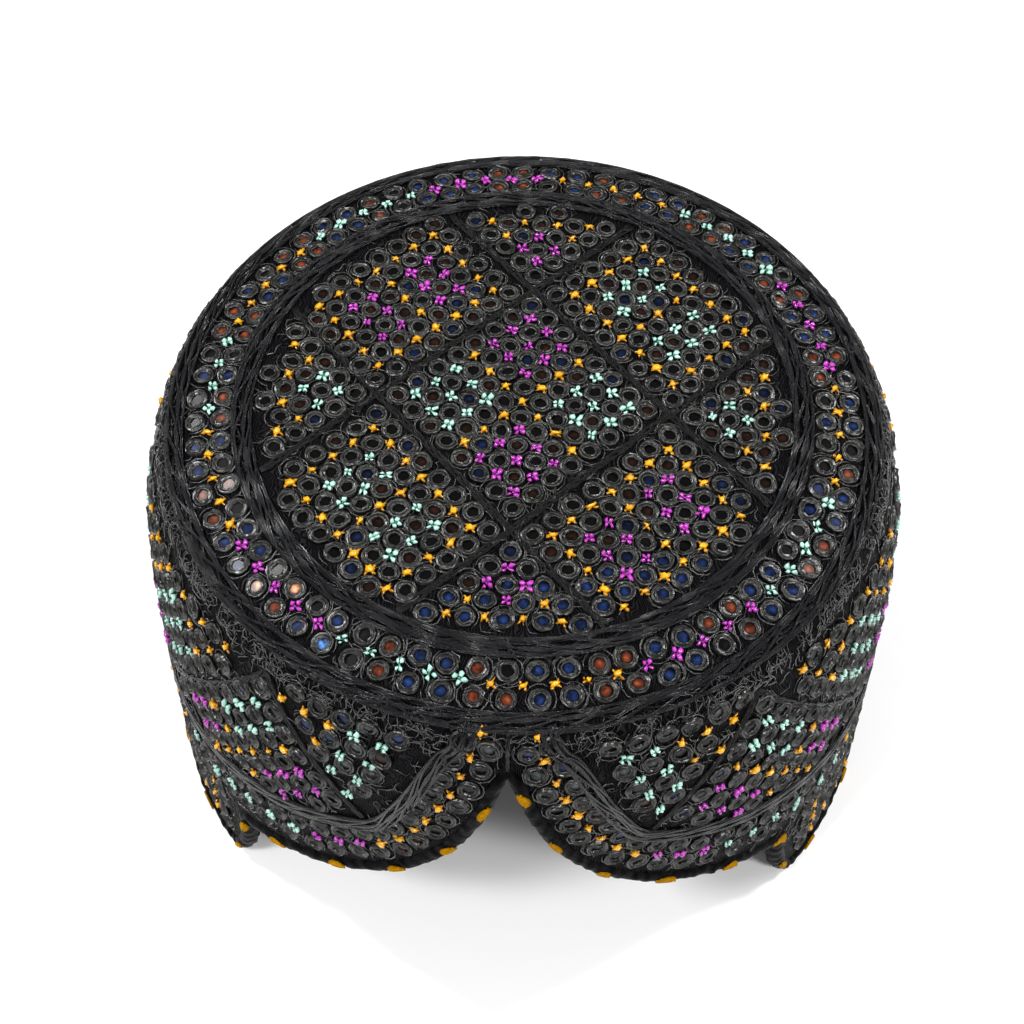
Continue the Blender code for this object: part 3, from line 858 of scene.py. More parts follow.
def front_hem_places(way):
    """Two rows of rings along the notch and the lobe on either side of a line of stitches, and a third row
    where the lobe is wide enough."""
    line = smooth_route(HEM_LINE, FINE_STEP)
    length = np.concatenate([[0.0], np.cumsum(np.linalg.norm(np.diff(line, axis=0), axis=1))])
    tangent = unit(np.gradient(line, axis=0))
    azimuth = np.degrees(line[:, 0] / MEAN_RADIUS)
    count = np.cumsum(np.gradient(length) / np.interp(azimuth, (8.0, 22.0, 36.0), (0.0064, 0.0070, 0.0079)))
    last = np.interp(47.4 if way > 0 else 51.4, azimuth, count)
    stitch = last - np.arange(int(last) + 1)
    places = np.stack([np.interp(stitch, count, line[:, 0]), np.interp(stitch, count, line[:, 1])], 1)
    at = np.degrees(places[:, 0] / MEAN_RADIUS)
    colours = np.where(at < 18.5, "orange", np.where(at < 31.0, "magenta", "mint"))
    between = np.concatenate([[stitch[0] + 0.5], stitch - 0.5])
    across = np.stack([-np.interp(between, count, tangent[:, 1]),
                       np.interp(between, count, tangent[:, 0])], 1)
    middle = np.stack([np.interp(between, count, line[:, 0]), np.interp(between, count, line[:, 1])], 1)
    reach = np.interp(middle[:, 0], (0.0, 0.030, 0.060), (0.0030, 0.0034, 0.0037))[:, None]
    third = middle + across * reach * 3.05
    third = third[(third[:, 0] > 0.030) & (gap_to(folded(HEM_EDGE[:, :2]), third) > 0.0066)]
    rings = np.concatenate([middle - across * reach, middle + across * reach, third])
    rings = rings[rings[:, 1] > 0.0042]
    keep = places[:, 1] > 0.0010
    return rings * (way, 1), places[keep] * (way, 1), colours[keep]


def level_hem_places(way, taken):
    """Level rows of rings from the leg of the hem round to the back, clear of the rings already placed."""
    k = np.arange(-2, 30 if way > 0 else 29)
    column, row = (g.ravel() for g in np.meshgrid(k, np.array(LEVEL_ROWS)))
    rings = np.stack([LEVEL_FROM + LEVEL_STEP * (column + 0.5), run_at(row)], 1)
    rings = rings[(gap_to(folded(HEM_EDGE[:, :2]), rings) > 0.0069) & (gap_to(ARCH_LINE, rings) > 0.0046)]
    rings = rings[gap_to(taken * (way, 1), rings) > 0.0053]
    k = np.arange(0 if way > 0 else 1, 30)
    runs = np.array(["orange", "magenta", "mint"])
    places, colours = [], []
    for first, shift in ((0, 13), (4, 0)):
        depth = (LEVEL_ROWS[first] + LEVEL_ROWS[first + 1]) / 2
        places.append(np.stack([LEVEL_FROM + LEVEL_STEP * k, 0.0 * k + run_at(depth)], 1))
        colours.append(runs[(k + shift) // 5 % 3])
    leg = np.array([(LEVEL_FROM, run_at((LEVEL_ROWS[n] + LEVEL_ROWS[n + 1]) / 2)) for n in (2, 3, 4)])
    places, colours = np.concatenate([*places, leg]), np.concatenate([*colours, ["orange"] * 3])
    places, keep = np.unique(places.round(6), axis=0, return_index=True)
    return rings * (way, 1), places * (way, 1), colours[keep]


def settings():
    """The panel's sizes and colours."""
    scene = bpy.context.scene
    return scene.cap_sizes, scene.cap_colours


def crown_places():
    """All rings and stitches of the crown, as x and y from its centre."""
    sizes, _ = settings()
    rings, places, colours = medallion_places(sizes.medallion_pitch)
    border_rings, border_stitches, border_colours, pair = border_places()
    return rings, places, colours, border_rings, border_stitches, border_colours, pair


def wall_places():
    """All rings and stitches of the wall, as u and v."""
    rings, places, colours = wall_panel_places()
    parts = [(rings, places, colours)]
    for way in (1, -1):
        front = front_hem_places(way)
        parts += [front_panel_places(way), front, level_hem_places(way, front[0])]
    return tuple(np.concatenate([part[i] for part in parts]) for i in range(3))


def unsettled(spots, amount, seed):
    """Spots moved a little, as hand work is."""
    return spots + np.random.default_rng(seed).normal(0, amount, spots.shape)


class CapSizes(bpy.types.PropertyGroup):
    """Sizes that a user would change."""

    ring_radius: FloatProperty(name="Ring Radius", description="Outer radius of each wrapped ring",
                               default=0.0027, min=0.001, max=0.004, unit="LENGTH", precision=4)
    ring_height: FloatProperty(name="Ring Height", description="How far a ring stands off the cloth",
                               default=0.00095, min=0.0003, max=0.002, unit="LENGTH", precision=4)
    medallion_pitch: FloatProperty(name="Medallion Pitch", description="Distance between rings on the crown",
                                   default=0.00574, min=0.004, max=0.008, unit="LENGTH", precision=5)
    stitch_size: FloatProperty(name="Stitch Size", description="Reach of one coloured stitch from its middle",
                               default=0.00136, min=0.0005, max=0.003, unit="LENGTH", precision=4)
    mark_spacing: FloatProperty(name="Mark Spacing", description="Distance between satin marks along the hem",
                                default=0.0205, min=0.006, max=0.04, unit="LENGTH", precision=4)
    thread_width: FloatProperty(name="Thread Width", description="Width of the loose threads of the ground",
                                default=0.00030, min=0.0001, max=0.0008, unit="LENGTH", precision=5)
    threads_per_ring: IntProperty(name="Threads per Ring", description="Loose threads laid round each ring",
                                  default=3, min=0, max=6)


class CapColours(bpy.types.PropertyGroup):
    """Colours that a user would change."""

    ground: FloatVectorProperty(name="Ground", description="Black cloth and thread of the ground",
                                default=(0.006, 0.006, 0.007), subtype="COLOR", size=3, min=0.0, max=1.0)
    ring: FloatVectorProperty(name="Ring", description="Grey thread of the wrapped rings",
                              default=(0.050, 0.050, 0.048), subtype="COLOR", size=3, min=0.0, max=1.0)
    braid: FloatVectorProperty(name="Braid", description="Blue-black satin of the braids",
                               default=(0.030, 0.031, 0.038), subtype="COLOR", size=3, min=0.0, max=1.0)
    orange: FloatVectorProperty(name="Orange", description="Orange thread",
                                default=(1.0, 0.47, 0.004), subtype="COLOR", size=3, min=0.0, max=1.0)
    magenta: FloatVectorProperty(name="Magenta", description="Magenta thread",
                                 default=(0.56, 0.05, 0.53), subtype="COLOR", size=3, min=0.0, max=1.0)
    mint: FloatVectorProperty(name="Mint", description="Mint thread",
                              default=(0.51, 0.87, 0.75), subtype="COLOR", size=3, min=0.0, max=1.0)


def named_colour(name):
    """One of the panel's colours as three numbers."""
    return tuple(getattr(settings()[1], name))


def darker(colour, amount):
    """A colour times an amount."""
    return tuple(c * amount for c in colour)


class CAP_OT_cloth(bpy.types.Operator):
    """Make the crown's and the wall's cloth, worked all over in fine thread."""

    bl_idname = "cap.cloth"
    bl_label = "Cloth"

    def execute(self, context):
        ground = named_colour("ground")
        material = cloth_material("worked_ground", darker(ground, 0.2), darker(ground, 2.0))
        lining = thread_material("inner_cloth", darker(ground, 0.9), darker(ground, 2.2), 0.8, grain=2600.0)
        self.make_wall(material, lining)
        self.make_crown(material, lining)
        return {"FINISHED"}

    def make_wall(self, material, lining):
        """Rows from the seam down to the binding outside, and back up inside at the cloth's thickness."""
        edge_u = HEM_EDGE[:, 0] + HEM_EDGE[:, 2] * (BINDING_WIDTH * 0.8)
        edge_v = HEM_EDGE[:, 1] + HEM_EDGE[:, 3] * (BINDING_WIDTH * 0.8)
        down = np.concatenate([np.linspace(0, 0.16, 9)[:-1], np.linspace(0.16, 1.0, 31)])
        u, v = np.broadcast_to(edge_u[:, None], (len(edge_u), len(down))), edge_v[:, None] * down
        outside = on_cloth(u, v)
        outside = outside + cloth_normal(u, v) * (ripple(outside, 0.0028, 3) * 0.00016)[..., None]
        back = down[::-3]
        v = edge_v[:, None] * back
        inside = on_cloth(edge_u[:, None], v, -WALL_THICKNESS)
        points = np.concatenate([outside, inside], 1)
        faces = grid_faces(len(edge_u), points.shape[1], True, True)
        piece = make_piece("wall_cloth", points, [faces.reshape(-1, 4)], material,
                           replaces=("side_wall",))
        piece.data.materials.append(lining)
        column = np.tile(np.arange(points.shape[1]), len(edge_u))
        piece.data.polygons.foreach_set("material_index", (column >= len(down) - 1).astype(np.int32))

    def make_crown(self, material, lining):
        """A disc: rings of points from the middle out on top, down the edge, and level back in below."""
        around = np.linspace(0, 2 * math.pi, 300, endpoint=False)
        edge = CROWN_RADIUS + 0.0004
        out = np.concatenate([[0.0004], np.linspace(0.0015, edge, 60)])
        top = on_crown(out * np.sin(around)[:, None], -out * np.cos(around)[:, None])
        top[..., 2] += ripple(top, 0.0028, 4) * 0.00014
        back = out[::-6]
        foot = on_crown(back * np.sin(around)[:, None], -back * np.cos(around)[:, None])
        foot[..., 2] = HEIGHT + CROWN_RISE - CROWN_THICKNESS
        points = np.concatenate([top, foot], 1)
        size = points.shape[1]
        faces = grid_faces(len(around), size, True, False).reshape(-1, 4)
        poles = np.arange(len(around)) * size
        caps = [poles[::-1][None], (poles + size - 1)[None]]
        piece = make_piece("crown_cloth", points, [faces, *caps], material,
                           replaces=("crown_panel",))
        piece.data.materials.append(lining)
        column = np.concatenate([np.tile(np.arange(size - 1), len(around)), [0, size]])
        piece.data.polygons.foreach_set("material_index", (column >= len(out)).astype(np.int32))


def binding_surface(station, around, lift):
    """The bound hem's skin: an oval of cloth about the edge, at angles round it from the lower edge outside.

    across = half width x (1 - cosine), outward = middle + half thickness x sine.
    """
    across = 0.5 * BINDING_WIDTH * (1.0 - np.cos(around)) * 1.05
    outward = -0.0016 + (0.0026 + lift) * np.sin(around)
    across = across - lift * np.cos(around)
    u = station[..., 0] + station[..., 2] * across
    v = station[..., 1] + station[..., 3] * across
    return on_cloth(u, v, outward)


class CAP_OT_hem(bpy.types.Operator):
    """Make the bound hem with its wrapped thread and orange satin marks."""

    bl_idname = "cap.hem"
    bl_label = "Bound Hem"

    def execute(self, context):
        sizes, _ = settings()
        stations = hem_edge(HEM_STEP)
        around = np.arange(14) * 2 * math.pi / 14
        along = np.arange(len(stations)) * HEM_STEP
        wrap = np.sin(2 * math.pi * along[:, None] / WRAP_PITCH + around * 1.5) * WRAP_HEIGHT
        grid = np.broadcast_to(stations[:, None], (len(stations), len(around), 4))
        points = binding_surface(grid, around[None], wrap)
        points = points + unit(points - points.mean(1, keepdims=True)) * (
            ripple(points, 0.0030, 8) * 0.00026)[..., None]
        points[..., 2] = np.maximum(points[..., 2], 0.0)
        faces = grid_faces(len(stations), len(around), True, True).reshape(-1, 4)
        i, k = np.divmod(np.arange(len(faces)), len(around))
        corner = [np.stack([(k + b) / len(around), (i + a) * HEM_STEP / UV_LENGTH], -1)
                  for a, b in ((0, 0), (1, 0), (1, 1), (0, 1))]
        material = thread_material("binding_thread", (0.001, 0.001, 0.0015), (0.007, 0.007, 0.008), 0.42,
                                   (1.0, 1.5), grain=420.0, gloss=0.10, relief=0.0005, bend=1.2)
        make_piece("bound_hem", points, [faces], material, [np.stack(corner, 1)],
                   replaces=("hem_binding",))
        self.make_marks(sizes, stations)
        return {"FINISHED"}

    def make_marks(self, sizes, stations):
        """Leaf-shaped marks: nine stitches side by side over the binding, longest in the middle."""
        length = len(stations) * HEM_STEP
        count = round((length - FIRST_MARK - LAST_MARK) / sizes.mark_spacing) + 1
        dice = np.random.default_rng(12)
        middle = np.linspace(FIRST_MARK, length - LAST_MARK, count) + dice.normal(0, 0.0006, count)
        stitch = (np.arange(9) - 4.0) / 4.0
        way = np.where(middle < length / 2, 1.0, -1.0)
        at = middle[:, None] + stitch * dice.uniform(0.0017, 0.0027, count)[:, None]
        reach = np.sqrt(1.03 - stitch**2) * dice.uniform(0.45, 0.75, count)[:, None]
        t = np.linspace(-1.0, 1.0, 6)
        around = (math.pi * 0.46 + dice.normal(0, 0.12, count))[:, None, None] + reach[..., None] * t * 0.85
        slant = at[..., None] + way[:, None, None] * t * reach[..., None] * 0.0011
        slot = np.clip(slant / HEM_STEP, 0, len(stations) - 1.001)
        low = slot.astype(int)
        part = (slot - low)[..., None]
        station = stations[low] * (1 - part) + stations[low + 1] * part
        centre = binding_surface(station, around, 0.00018).reshape(-1, 6, 3)
        inner = binding_surface(station, around, -0.0008).reshape(-1, 6, 3)
        radius = np.broadcast_to(0.00034 * (1.05 - 0.55 * t**4), centre.shape[:2])
        points, faces, uvs = tube_mesh(centre, unit(centre - inner), radius, 5)
        orange = named_colour("orange")
        material = thread_material("orange_satin", darker(orange, 0.55), orange, 0.35, (4.0, 0.0), gloss=0.1,
                                   bend=1.2)
        make_piece("hem_marks", points, faces, material, uvs)


def braid_material():
    """Blue-black satin thread."""
    braid = named_colour("braid")
    return thread_material("satin_braid", darker(braid, 0.02), darker(braid, 0.60), 0.22, (5.0, 0.6),
                           gloss=0.50)


class CAP_OT_braids(bpy.types.Operator):
    """Make the twisted braids: round the crown, round the medallion, along the hem and up the front seam."""

    bl_idname = "cap.braids"
    bl_label = "Braids"

    def execute(self, context):
        material = braid_material()
        turn = 2 * math.pi * MEAN_RADIUS
        u = np.linspace(0, turn, EDGE_PLAIT_STATIONS, endpoint=False)
        points, faces, uvs = round_cloth(np.stack([u, 0 * u + EDGE_PLAIT_RUN], 1), *EDGE_PLAIT)
        make_piece("edge_braid", points, faces, material, uvs, replaces=("crown_edge_braid",))
        angle = np.linspace(0, 2 * math.pi, MEDALLION_PLAIT_STATIONS, endpoint=False)
        line = np.stack([np.sin(angle), -np.cos(angle)], 1) * MEDALLION_RADIUS + (-0.0003, 0.0001)
        points, faces, uvs = twisted_cord(line, on_crown, up_normal, *MEDALLION_PLAIT, looped=True)
        make_piece("medallion_cord", points, faces, material, uvs, replaces=("medallion_braid",))
        right = smooth_route(ARCH_ROUTE, ARCH_PLAIT_STEP)
        left = right[-2::-1] * (-1.0, 1.0) + (2 * math.pi * MEAN_RADIUS, 0.0)
        line = np.concatenate([right, left])
        points, faces, uvs = twisted_cord(line, on_cloth, cloth_normal, *ARCH_PLAIT)
        make_piece("arch_cord", points, faces, material, uvs, replaces=("arch_braid",))
        v = np.linspace(0.0040, run_at(NOTCH_DEPTH) - 0.0010, 26)
        points, faces, uvs = twisted_cord(np.stack([0 * v, v], 1), on_cloth, cloth_normal, *FRONT_SEAM)
        make_piece("front_seam", points, faces, material, uvs)
        return {"FINISHED"}


class CAP_OT_bands(bpy.types.Operator):
    """Make the plain couched bands between the panels of the crown and the wall."""

    bl_idname = "cap.bands"
    bl_label = "Bands"

    def execute(self, context):
        sizes, _ = settings()
        ring = named_colour("ring")
        material = thread_material("couched_band", darker(ring, 0.04), darker(ring, 0.5), 0.4, (4.0, 1.2),
                                   gloss=0.2)
        ways = np.radians(ROW_ANGLES)
        basis = np.stack([np.cos(ways), np.sin(ways)], 1)
        parts = []
        for axis, way, gap, _, _ in PANEL_GAPS:
            at = way * (3.5 + (gap - 1.0) / 2) * sizes.medallion_pitch
            reach = math.sqrt((MEDALLION_RADIUS - 0.0022)**2 - at**2)
            run = np.linspace(-reach, reach, BAND_STATIONS)
            line = basis[axis] * at + basis[1 - axis] * run[:, None] + MEDALLION_CENTRE
            line = line[np.hypot(*line.T) < MEDALLION_RADIUS - 0.0020]
            parts.append(twisted_cord(line, on_crown, up_normal, *CROWN_BAND))
        whole = joined(parts)
        make_piece("crown_bands", whole[0], whole[1], material, whole[2],
                   replaces=("crown_lattice",))
        depth = np.arange(NET_TOP, HEIGHT, BAND_STEP)
        parts = []
        for node in NET_NODES:
            for way in (1, -1):
                azimuth = node + way * (depth - NET_TOP) / NET_SLOPE
                line = np.stack([np.radians(azimuth) * MEAN_RADIUS, run_at(depth)], 1)
                stop = np.nonzero(~inside_arch(line, 0.0016))[0][0]
                line = line[:stop]
                parts.append(twisted_cord(line, on_cloth, cloth_normal, *WALL_BAND))
        whole = joined(parts)
        make_piece("wall_bands", whole[0], whole[1], material, whole[2],
                   replaces=("wall_lattice",))
        return {"FINISHED"}


# Painted reflections in the glass: the colours that stand for what each mirror reflects
MIRROR_REFLECTION_TINTS = {
    "black": (0.004, 0.004, 0.005),
    "brown": (0.050, 0.016, 0.008),
    "copper": (0.200, 0.045, 0.018),
    "blue": (0.010, 0.028, 0.110),
    "pale": (0.900, 0.380, 0.220),
    "sky": (0.160, 0.400, 0.950),
    "grey": (0.060, 0.075, 0.080),
}

# Painted shade of each thread's stitch: the colour of its low dark middle, and the shaded end for the orange
# knot's lower arms
STITCH_SHADE_TINTS = {
    "orange": (0.30, 0.10, 0.01),
    "magenta": (0.20, 0.02, 0.18),
    "mint": (0.03, 0.16, 0.11),
}


def mirror_shape(reach):
    """A flat disc of glass with twelve sides, as points, edge quads, a fan on its face, its foot and a shade
    of painted light:
    a painted highlight at a point off the middle of its face and the ring's painted shadow at its edge."""
    t = np.arange(12) * 2 * math.pi / 12
    rim = np.stack([np.cos(t) * reach, np.sin(t) * reach, 0 * t + 0.00030], 1)
    points = np.concatenate([rim, rim - (0, 0, 0.00030), [(0.22 * reach, 0.1 * reach, 0.00030)]])
    k = np.arange(12)
    n = (k + 1) % 12
    # Painted light: the ring's shadow on the glass's edge and foot, and a highlight at the off-centre point
    shade = np.array([0.12] * 24 + [1.5])
    edge, face = np.stack([k, k + 12, n + 12, n], -1), np.stack([k, n, 0 * k + 24], -1)
    return points, edge, face, k[None, ::-1] + 12, shade


def make_rings(name, spots, reflection_tints, material, glass, seed):
    """Joined rings and joined mirrors at the spots."""
    sizes, _ = settings()
    shape, faces, uvs = ring_shape(sizes.ring_radius, sizes.ring_height)
    count = len(spots[0])
    points = stamp(shape, spots, seed, 0.045, 0.07, True, 0.00009)
    dice = np.random.default_rng(seed + 1)
    shade = np.repeat(dice.uniform(0.55, 1.25, (count, 1)) * (1.0, 1.0, 0.95), len(shape), 0)
    make_piece(name + "_rings", points, [repeated(faces, len(shape), count)], material,
               [np.tile(uvs.reshape(-1, 2), (count, 1))], shade)
    # Each mirror's tint is its painted reflection times the painted shadow and highlight of its face
    shape, *groups, shade = mirror_shape(sizes.ring_radius * MIRROR_SHARE)
    points = stamp(shape, spots, seed + 2, 0.02, 0.05)
    faces = [repeated(group, len(shape), count) for group in groups]
    make_piece(name + "_mirrors", points, faces, glass, tint=reflection_tints[:, None] * shade[:, None],
               smooth=False)


def join_spots(*groups):
    """Several groups of spots as one."""
    return tuple(np.concatenate([g[i] for g in groups]) for i in range(3))


class CAP_OT_rings(bpy.types.Operator):
    """Make the wrapped rings and their mirrors on the crown and the wall."""

    bl_idname = "cap.rings"
    bl_label = "Rings and Mirrors"

    def execute(self, context):
        ring = named_colour("ring")
        # The section paints shade into each ring's groove and its feet
        grey = thread_material("ring_thread", darker(ring, 0.05), darker(ring, 1.6), 0.28, (0.5, 3.0), True,
                               gloss=0.50,
                               section=((0.0, 0.05), (0.22, 1.0), (0.40, 0.06), (0.58, 1.0), (0.80, 0.05)))
        glass = mirror_material("mirror_glass")
        dice = np.random.default_rng(21)
        medallion, _, _, border, _, _, pair = crown_places()
        reflection_tints = np.concatenate([self.medallion_reflections(medallion, dice), self.border_reflections(pair, dice)])
        places = unsettled(np.concatenate([medallion, border]), 0.00015, 22)
        make_rings("crown", spots_on(on_crown, up_normal, places), reflection_tints, grey, glass, 30)
        rings, _, _ = wall_places()
        # Painted reflections in the wall's mirrors: mostly black, with some grey, blue and brown
        choice = dice.choice(["black", "grey", "blue", "brown"], len(rings), p=[0.60, 0.20, 0.14, 0.06])
        reflection_tints = np.array([MIRROR_REFLECTION_TINTS[c] for c in choice])
        spots = spots_on(on_cloth, cloth_normal, unsettled(rings, 0.00020, 23))
        make_rings("wall", spots, reflection_tints, grey, glass, 40)
        return {"FINISHED"}

    def medallion_reflections(self, rings, dice):
        """Painted reflections: mostly black glass with some brown and blue, and blue along the front of the
        medallion.
        """
        choice = dice.choice(["black", "brown", "blue"], len(rings), p=[0.62, 0.26, 0.12])
        reflection_tints = np.array([MIRROR_REFLECTION_TINTS[c] for c in choice]) * 0.35
        front = rings @ np.array([0.2, -1.0]) > 0.047
        reflection_tints[front] = darker(MIRROR_REFLECTION_TINTS["blue"], 0.8)
        return reflection_tints

    def border_reflections(self, pair, dice):
        """Painted reflections: pairs of blue and copper glass by turns, some of it black, and three bright
        ones at the left.
        """
        colour = np.where((pair % 4 == 3) | (pair % 4 == 0), "blue", "copper")
        dull = dice.uniform(size=len(pair)) < 0.22
        colour = np.where(dull, "black", colour)
        inner = np.arange(len(pair)) < BORDER_STITCHES
        colour = np.where(((pair == 45) & inner) | ((pair == 46) & ~inner), "pale", colour)
        colour = np.where((pair == 43) & ~inner, "sky", colour)
        return np.array([MIRROR_REFLECTION_TINTS[c] for c in colour])


class CAP_OT_stitches(bpy.types.Operator):
    """Make the orange, magenta and mint stitches between the rings."""

    bl_idname = "cap.stitches"
    bl_label = "Coloured Stitches"

    def execute(self, context):
        sizes, _ = settings()
        _, inner, inner_colours, _, border, border_colours, _ = crown_places()
        crown = np.concatenate([inner, border])
        crown_colours = np.concatenate([inner_colours, border_colours])
        _, wall, wall_colours = wall_places()
        for number, name in enumerate(("orange", "magenta", "mint")):
            colour = named_colour(name)
            material = thread_material(name + "_stitch", (0.55, 0.55, 0.55), (1.0, 1.0, 1.0), 0.16,
                                       tinted=True, grain=2600.0, gloss=0.7)
            if name == "orange":
                shape, quads, ends, light = knot_shape(sizes.stitch_size * 0.95)
            else:
                shape, quads, ends, light = petal_shape(sizes.stitch_size)
            on_top = unsettled(crown[crown_colours == name], 0.0001, 50 + number)
            on_side = unsettled(wall[wall_colours == name], 0.0001, 60 + number)
            spots = join_spots(spots_on(on_crown, up_normal, on_top),
                               spots_on(on_cloth, cloth_normal, on_side))
            count = len(spots[0])
            points = stamp(shape, spots, 70 + number, 0.17, 0.10, False, 0.00013)
            # Each point's tint runs from painted shade on the low beads to the thread's colour on the lit
            # ones, times a random tone for each stitch
            share = light[None, :, None] * np.random.default_rng(number).uniform(0.80, 1.1, (count, 1, 1))
            low = np.array(STITCH_SHADE_TINTS[name])
            tint = low + (np.array(colour) - low) * share
            make_piece(name + "_stitches", points,
                       [repeated(quads, len(shape), count), repeated(ends, len(shape), count)], material,
                       tint=tint)
        return {"FINISHED"}


def arcs(centres, radius, start, sweep, stations):
    """Short curved threads: points at even angles of a circle about each centre."""
    angle = start[:, None] + sweep[:, None] * np.linspace(0, 1, stations)
    return centres[:, None] + radius[:, None, None] * np.stack([np.cos(angle), np.sin(angle)], -1)


def curls(spots, dice, stations):
    """Loose threads: each heading drifts by a seeded curve from its start."""
    count = len(spots)
    heading = dice.uniform(0, 2 * math.pi, count)[:, None]
    bend = dice.normal(0, 1.1, count)[:, None]
    t = np.linspace(-0.5, 0.5, stations)
    angle = heading + bend * t * 2.2 + 0.8 * np.sin(t * 6 + heading)
    step = dice.uniform(0.0042, 0.0084, count)[:, None] / stations
    moves = np.stack([np.cos(angle), np.sin(angle)], -1) * step[..., None]
    return spots[:, None] + np.cumsum(moves, 1) - moves.sum(1, keepdims=True) / 2


def scattered(dice, turn, high, low, count):
    """Places spread evenly round the whole cap between two runs."""
    return np.stack([dice.uniform(0, turn, count), dice.uniform(high, low, count)], 1)


def laid_threads(paths, surface, normal, width, dice):
    """Loose threads lying on the cloth: each dives at its ends and rises a little in the middle."""
    stations = paths.shape[1]
    t = np.linspace(-1.0, 1.0, stations)
    lift = dice.uniform(0.00015, 0.00045, len(paths))[:, None] * (1.2 - t**2)
    u, v = paths[..., 0], paths[..., 1]
    centres = surface(u, v, lift)
    thick = width * dice.uniform(0.7, 1.3, len(paths))[:, None] * (1.0 - 0.45 * t**4) / 2
    return tube_mesh(centres, normal(u, v), thick, 3)


class CAP_OT_threads(bpy.types.Operator):
    """Make the loose winding threads of the ground between the rings."""

    bl_idname = "cap.threads"
    bl_label = "Ground Threads"

    def execute(self, context):
        sizes, _ = settings()
        ring = named_colour("ring")
        material = thread_material("ground_thread", darker(ring, 0.02), darker(ring, 1.6), 0.26, gloss=0.6)
        dice = np.random.default_rng(80)
        medallion, _, _, border, _, _, _ = crown_places()
        around = self.round_rings(np.concatenate([medallion, border]), sizes.threads_per_ring, dice)
        turn = dice.uniform(0, 2 * math.pi, MEDALLION_THREADS + BORDER_THREADS)
        out = np.concatenate([dice.uniform(0.0100, MEDALLION_RADIUS - 0.0020, MEDALLION_THREADS),
                              dice.uniform(MEDALLION_RADIUS + 0.0013, CROWN_RADIUS, BORDER_THREADS)])
        loose = curls(np.stack([out * np.sin(turn), -out * np.cos(turn)], 1), dice, THREAD_STATIONS)
        loose = self.clear_of(loose, np.concatenate([medallion, border]))
        self.lay("crown_threads", [around, loose], on_crown, up_normal, material, sizes, dice)
        rings, _, _ = wall_places()
        around = self.round_rings(rings, sizes.threads_per_ring, dice)
        turn = 2 * math.pi * MEAN_RADIUS
        top = scattered(dice, turn, 0.0042, 0.0088, SHOULDER_THREADS)
        spread = scattered(dice, turn, 0.0080, 0.1170, WALL_THREADS)
        half = folded(spread)
        hem = folded(HEM_EDGE[:, :2])[:len(HEM_EDGE) // 2]
        low = np.interp(half[:, 0], hem[:, 0], hem[:, 1])
        spread = spread[(half[:, 1] < low - 0.0040) & (gap_to(hem, half) > 0.0058)]
        loose = self.clear_of(curls(np.concatenate([top, spread]), dice, THREAD_STATIONS), rings)
        self.lay("wall_threads", [around, loose], on_cloth, cloth_normal, material, sizes, dice)
        return {"FINISHED"}

    def clear_of(self, paths, rings):
        """The paths that don't cross the mirror of any ring."""
        turn = 2 * math.pi * MEAN_RADIUS
        everywhere = np.concatenate([rings, rings + (turn, 0.0)])
        gaps = gap_to(everywhere, paths.reshape(-1, 2)).reshape(paths.shape[:2])
        return paths[gaps.min(1) > MIRROR_CLEAR]

    def round_rings(self, spots, each, dice):
        """Arcs just outside each ring."""
        centres = np.repeat(spots, each, 0)
        count = len(centres)
        return arcs(centres, dice.uniform(0.0029, 0.0036, count), dice.uniform(0, 2 * math.pi, count),
                    dice.uniform(1.2, 2.8, count), THREAD_STATIONS)

    def lay(self, name, groups, surface, normal, material, sizes, dice):
        """One piece of all the threads in the groups."""
        paths = np.concatenate(groups)
        points, faces, uvs = laid_threads(paths, surface, normal, sizes.thread_width, dice)
        make_piece(name, points, faces, material, uvs)


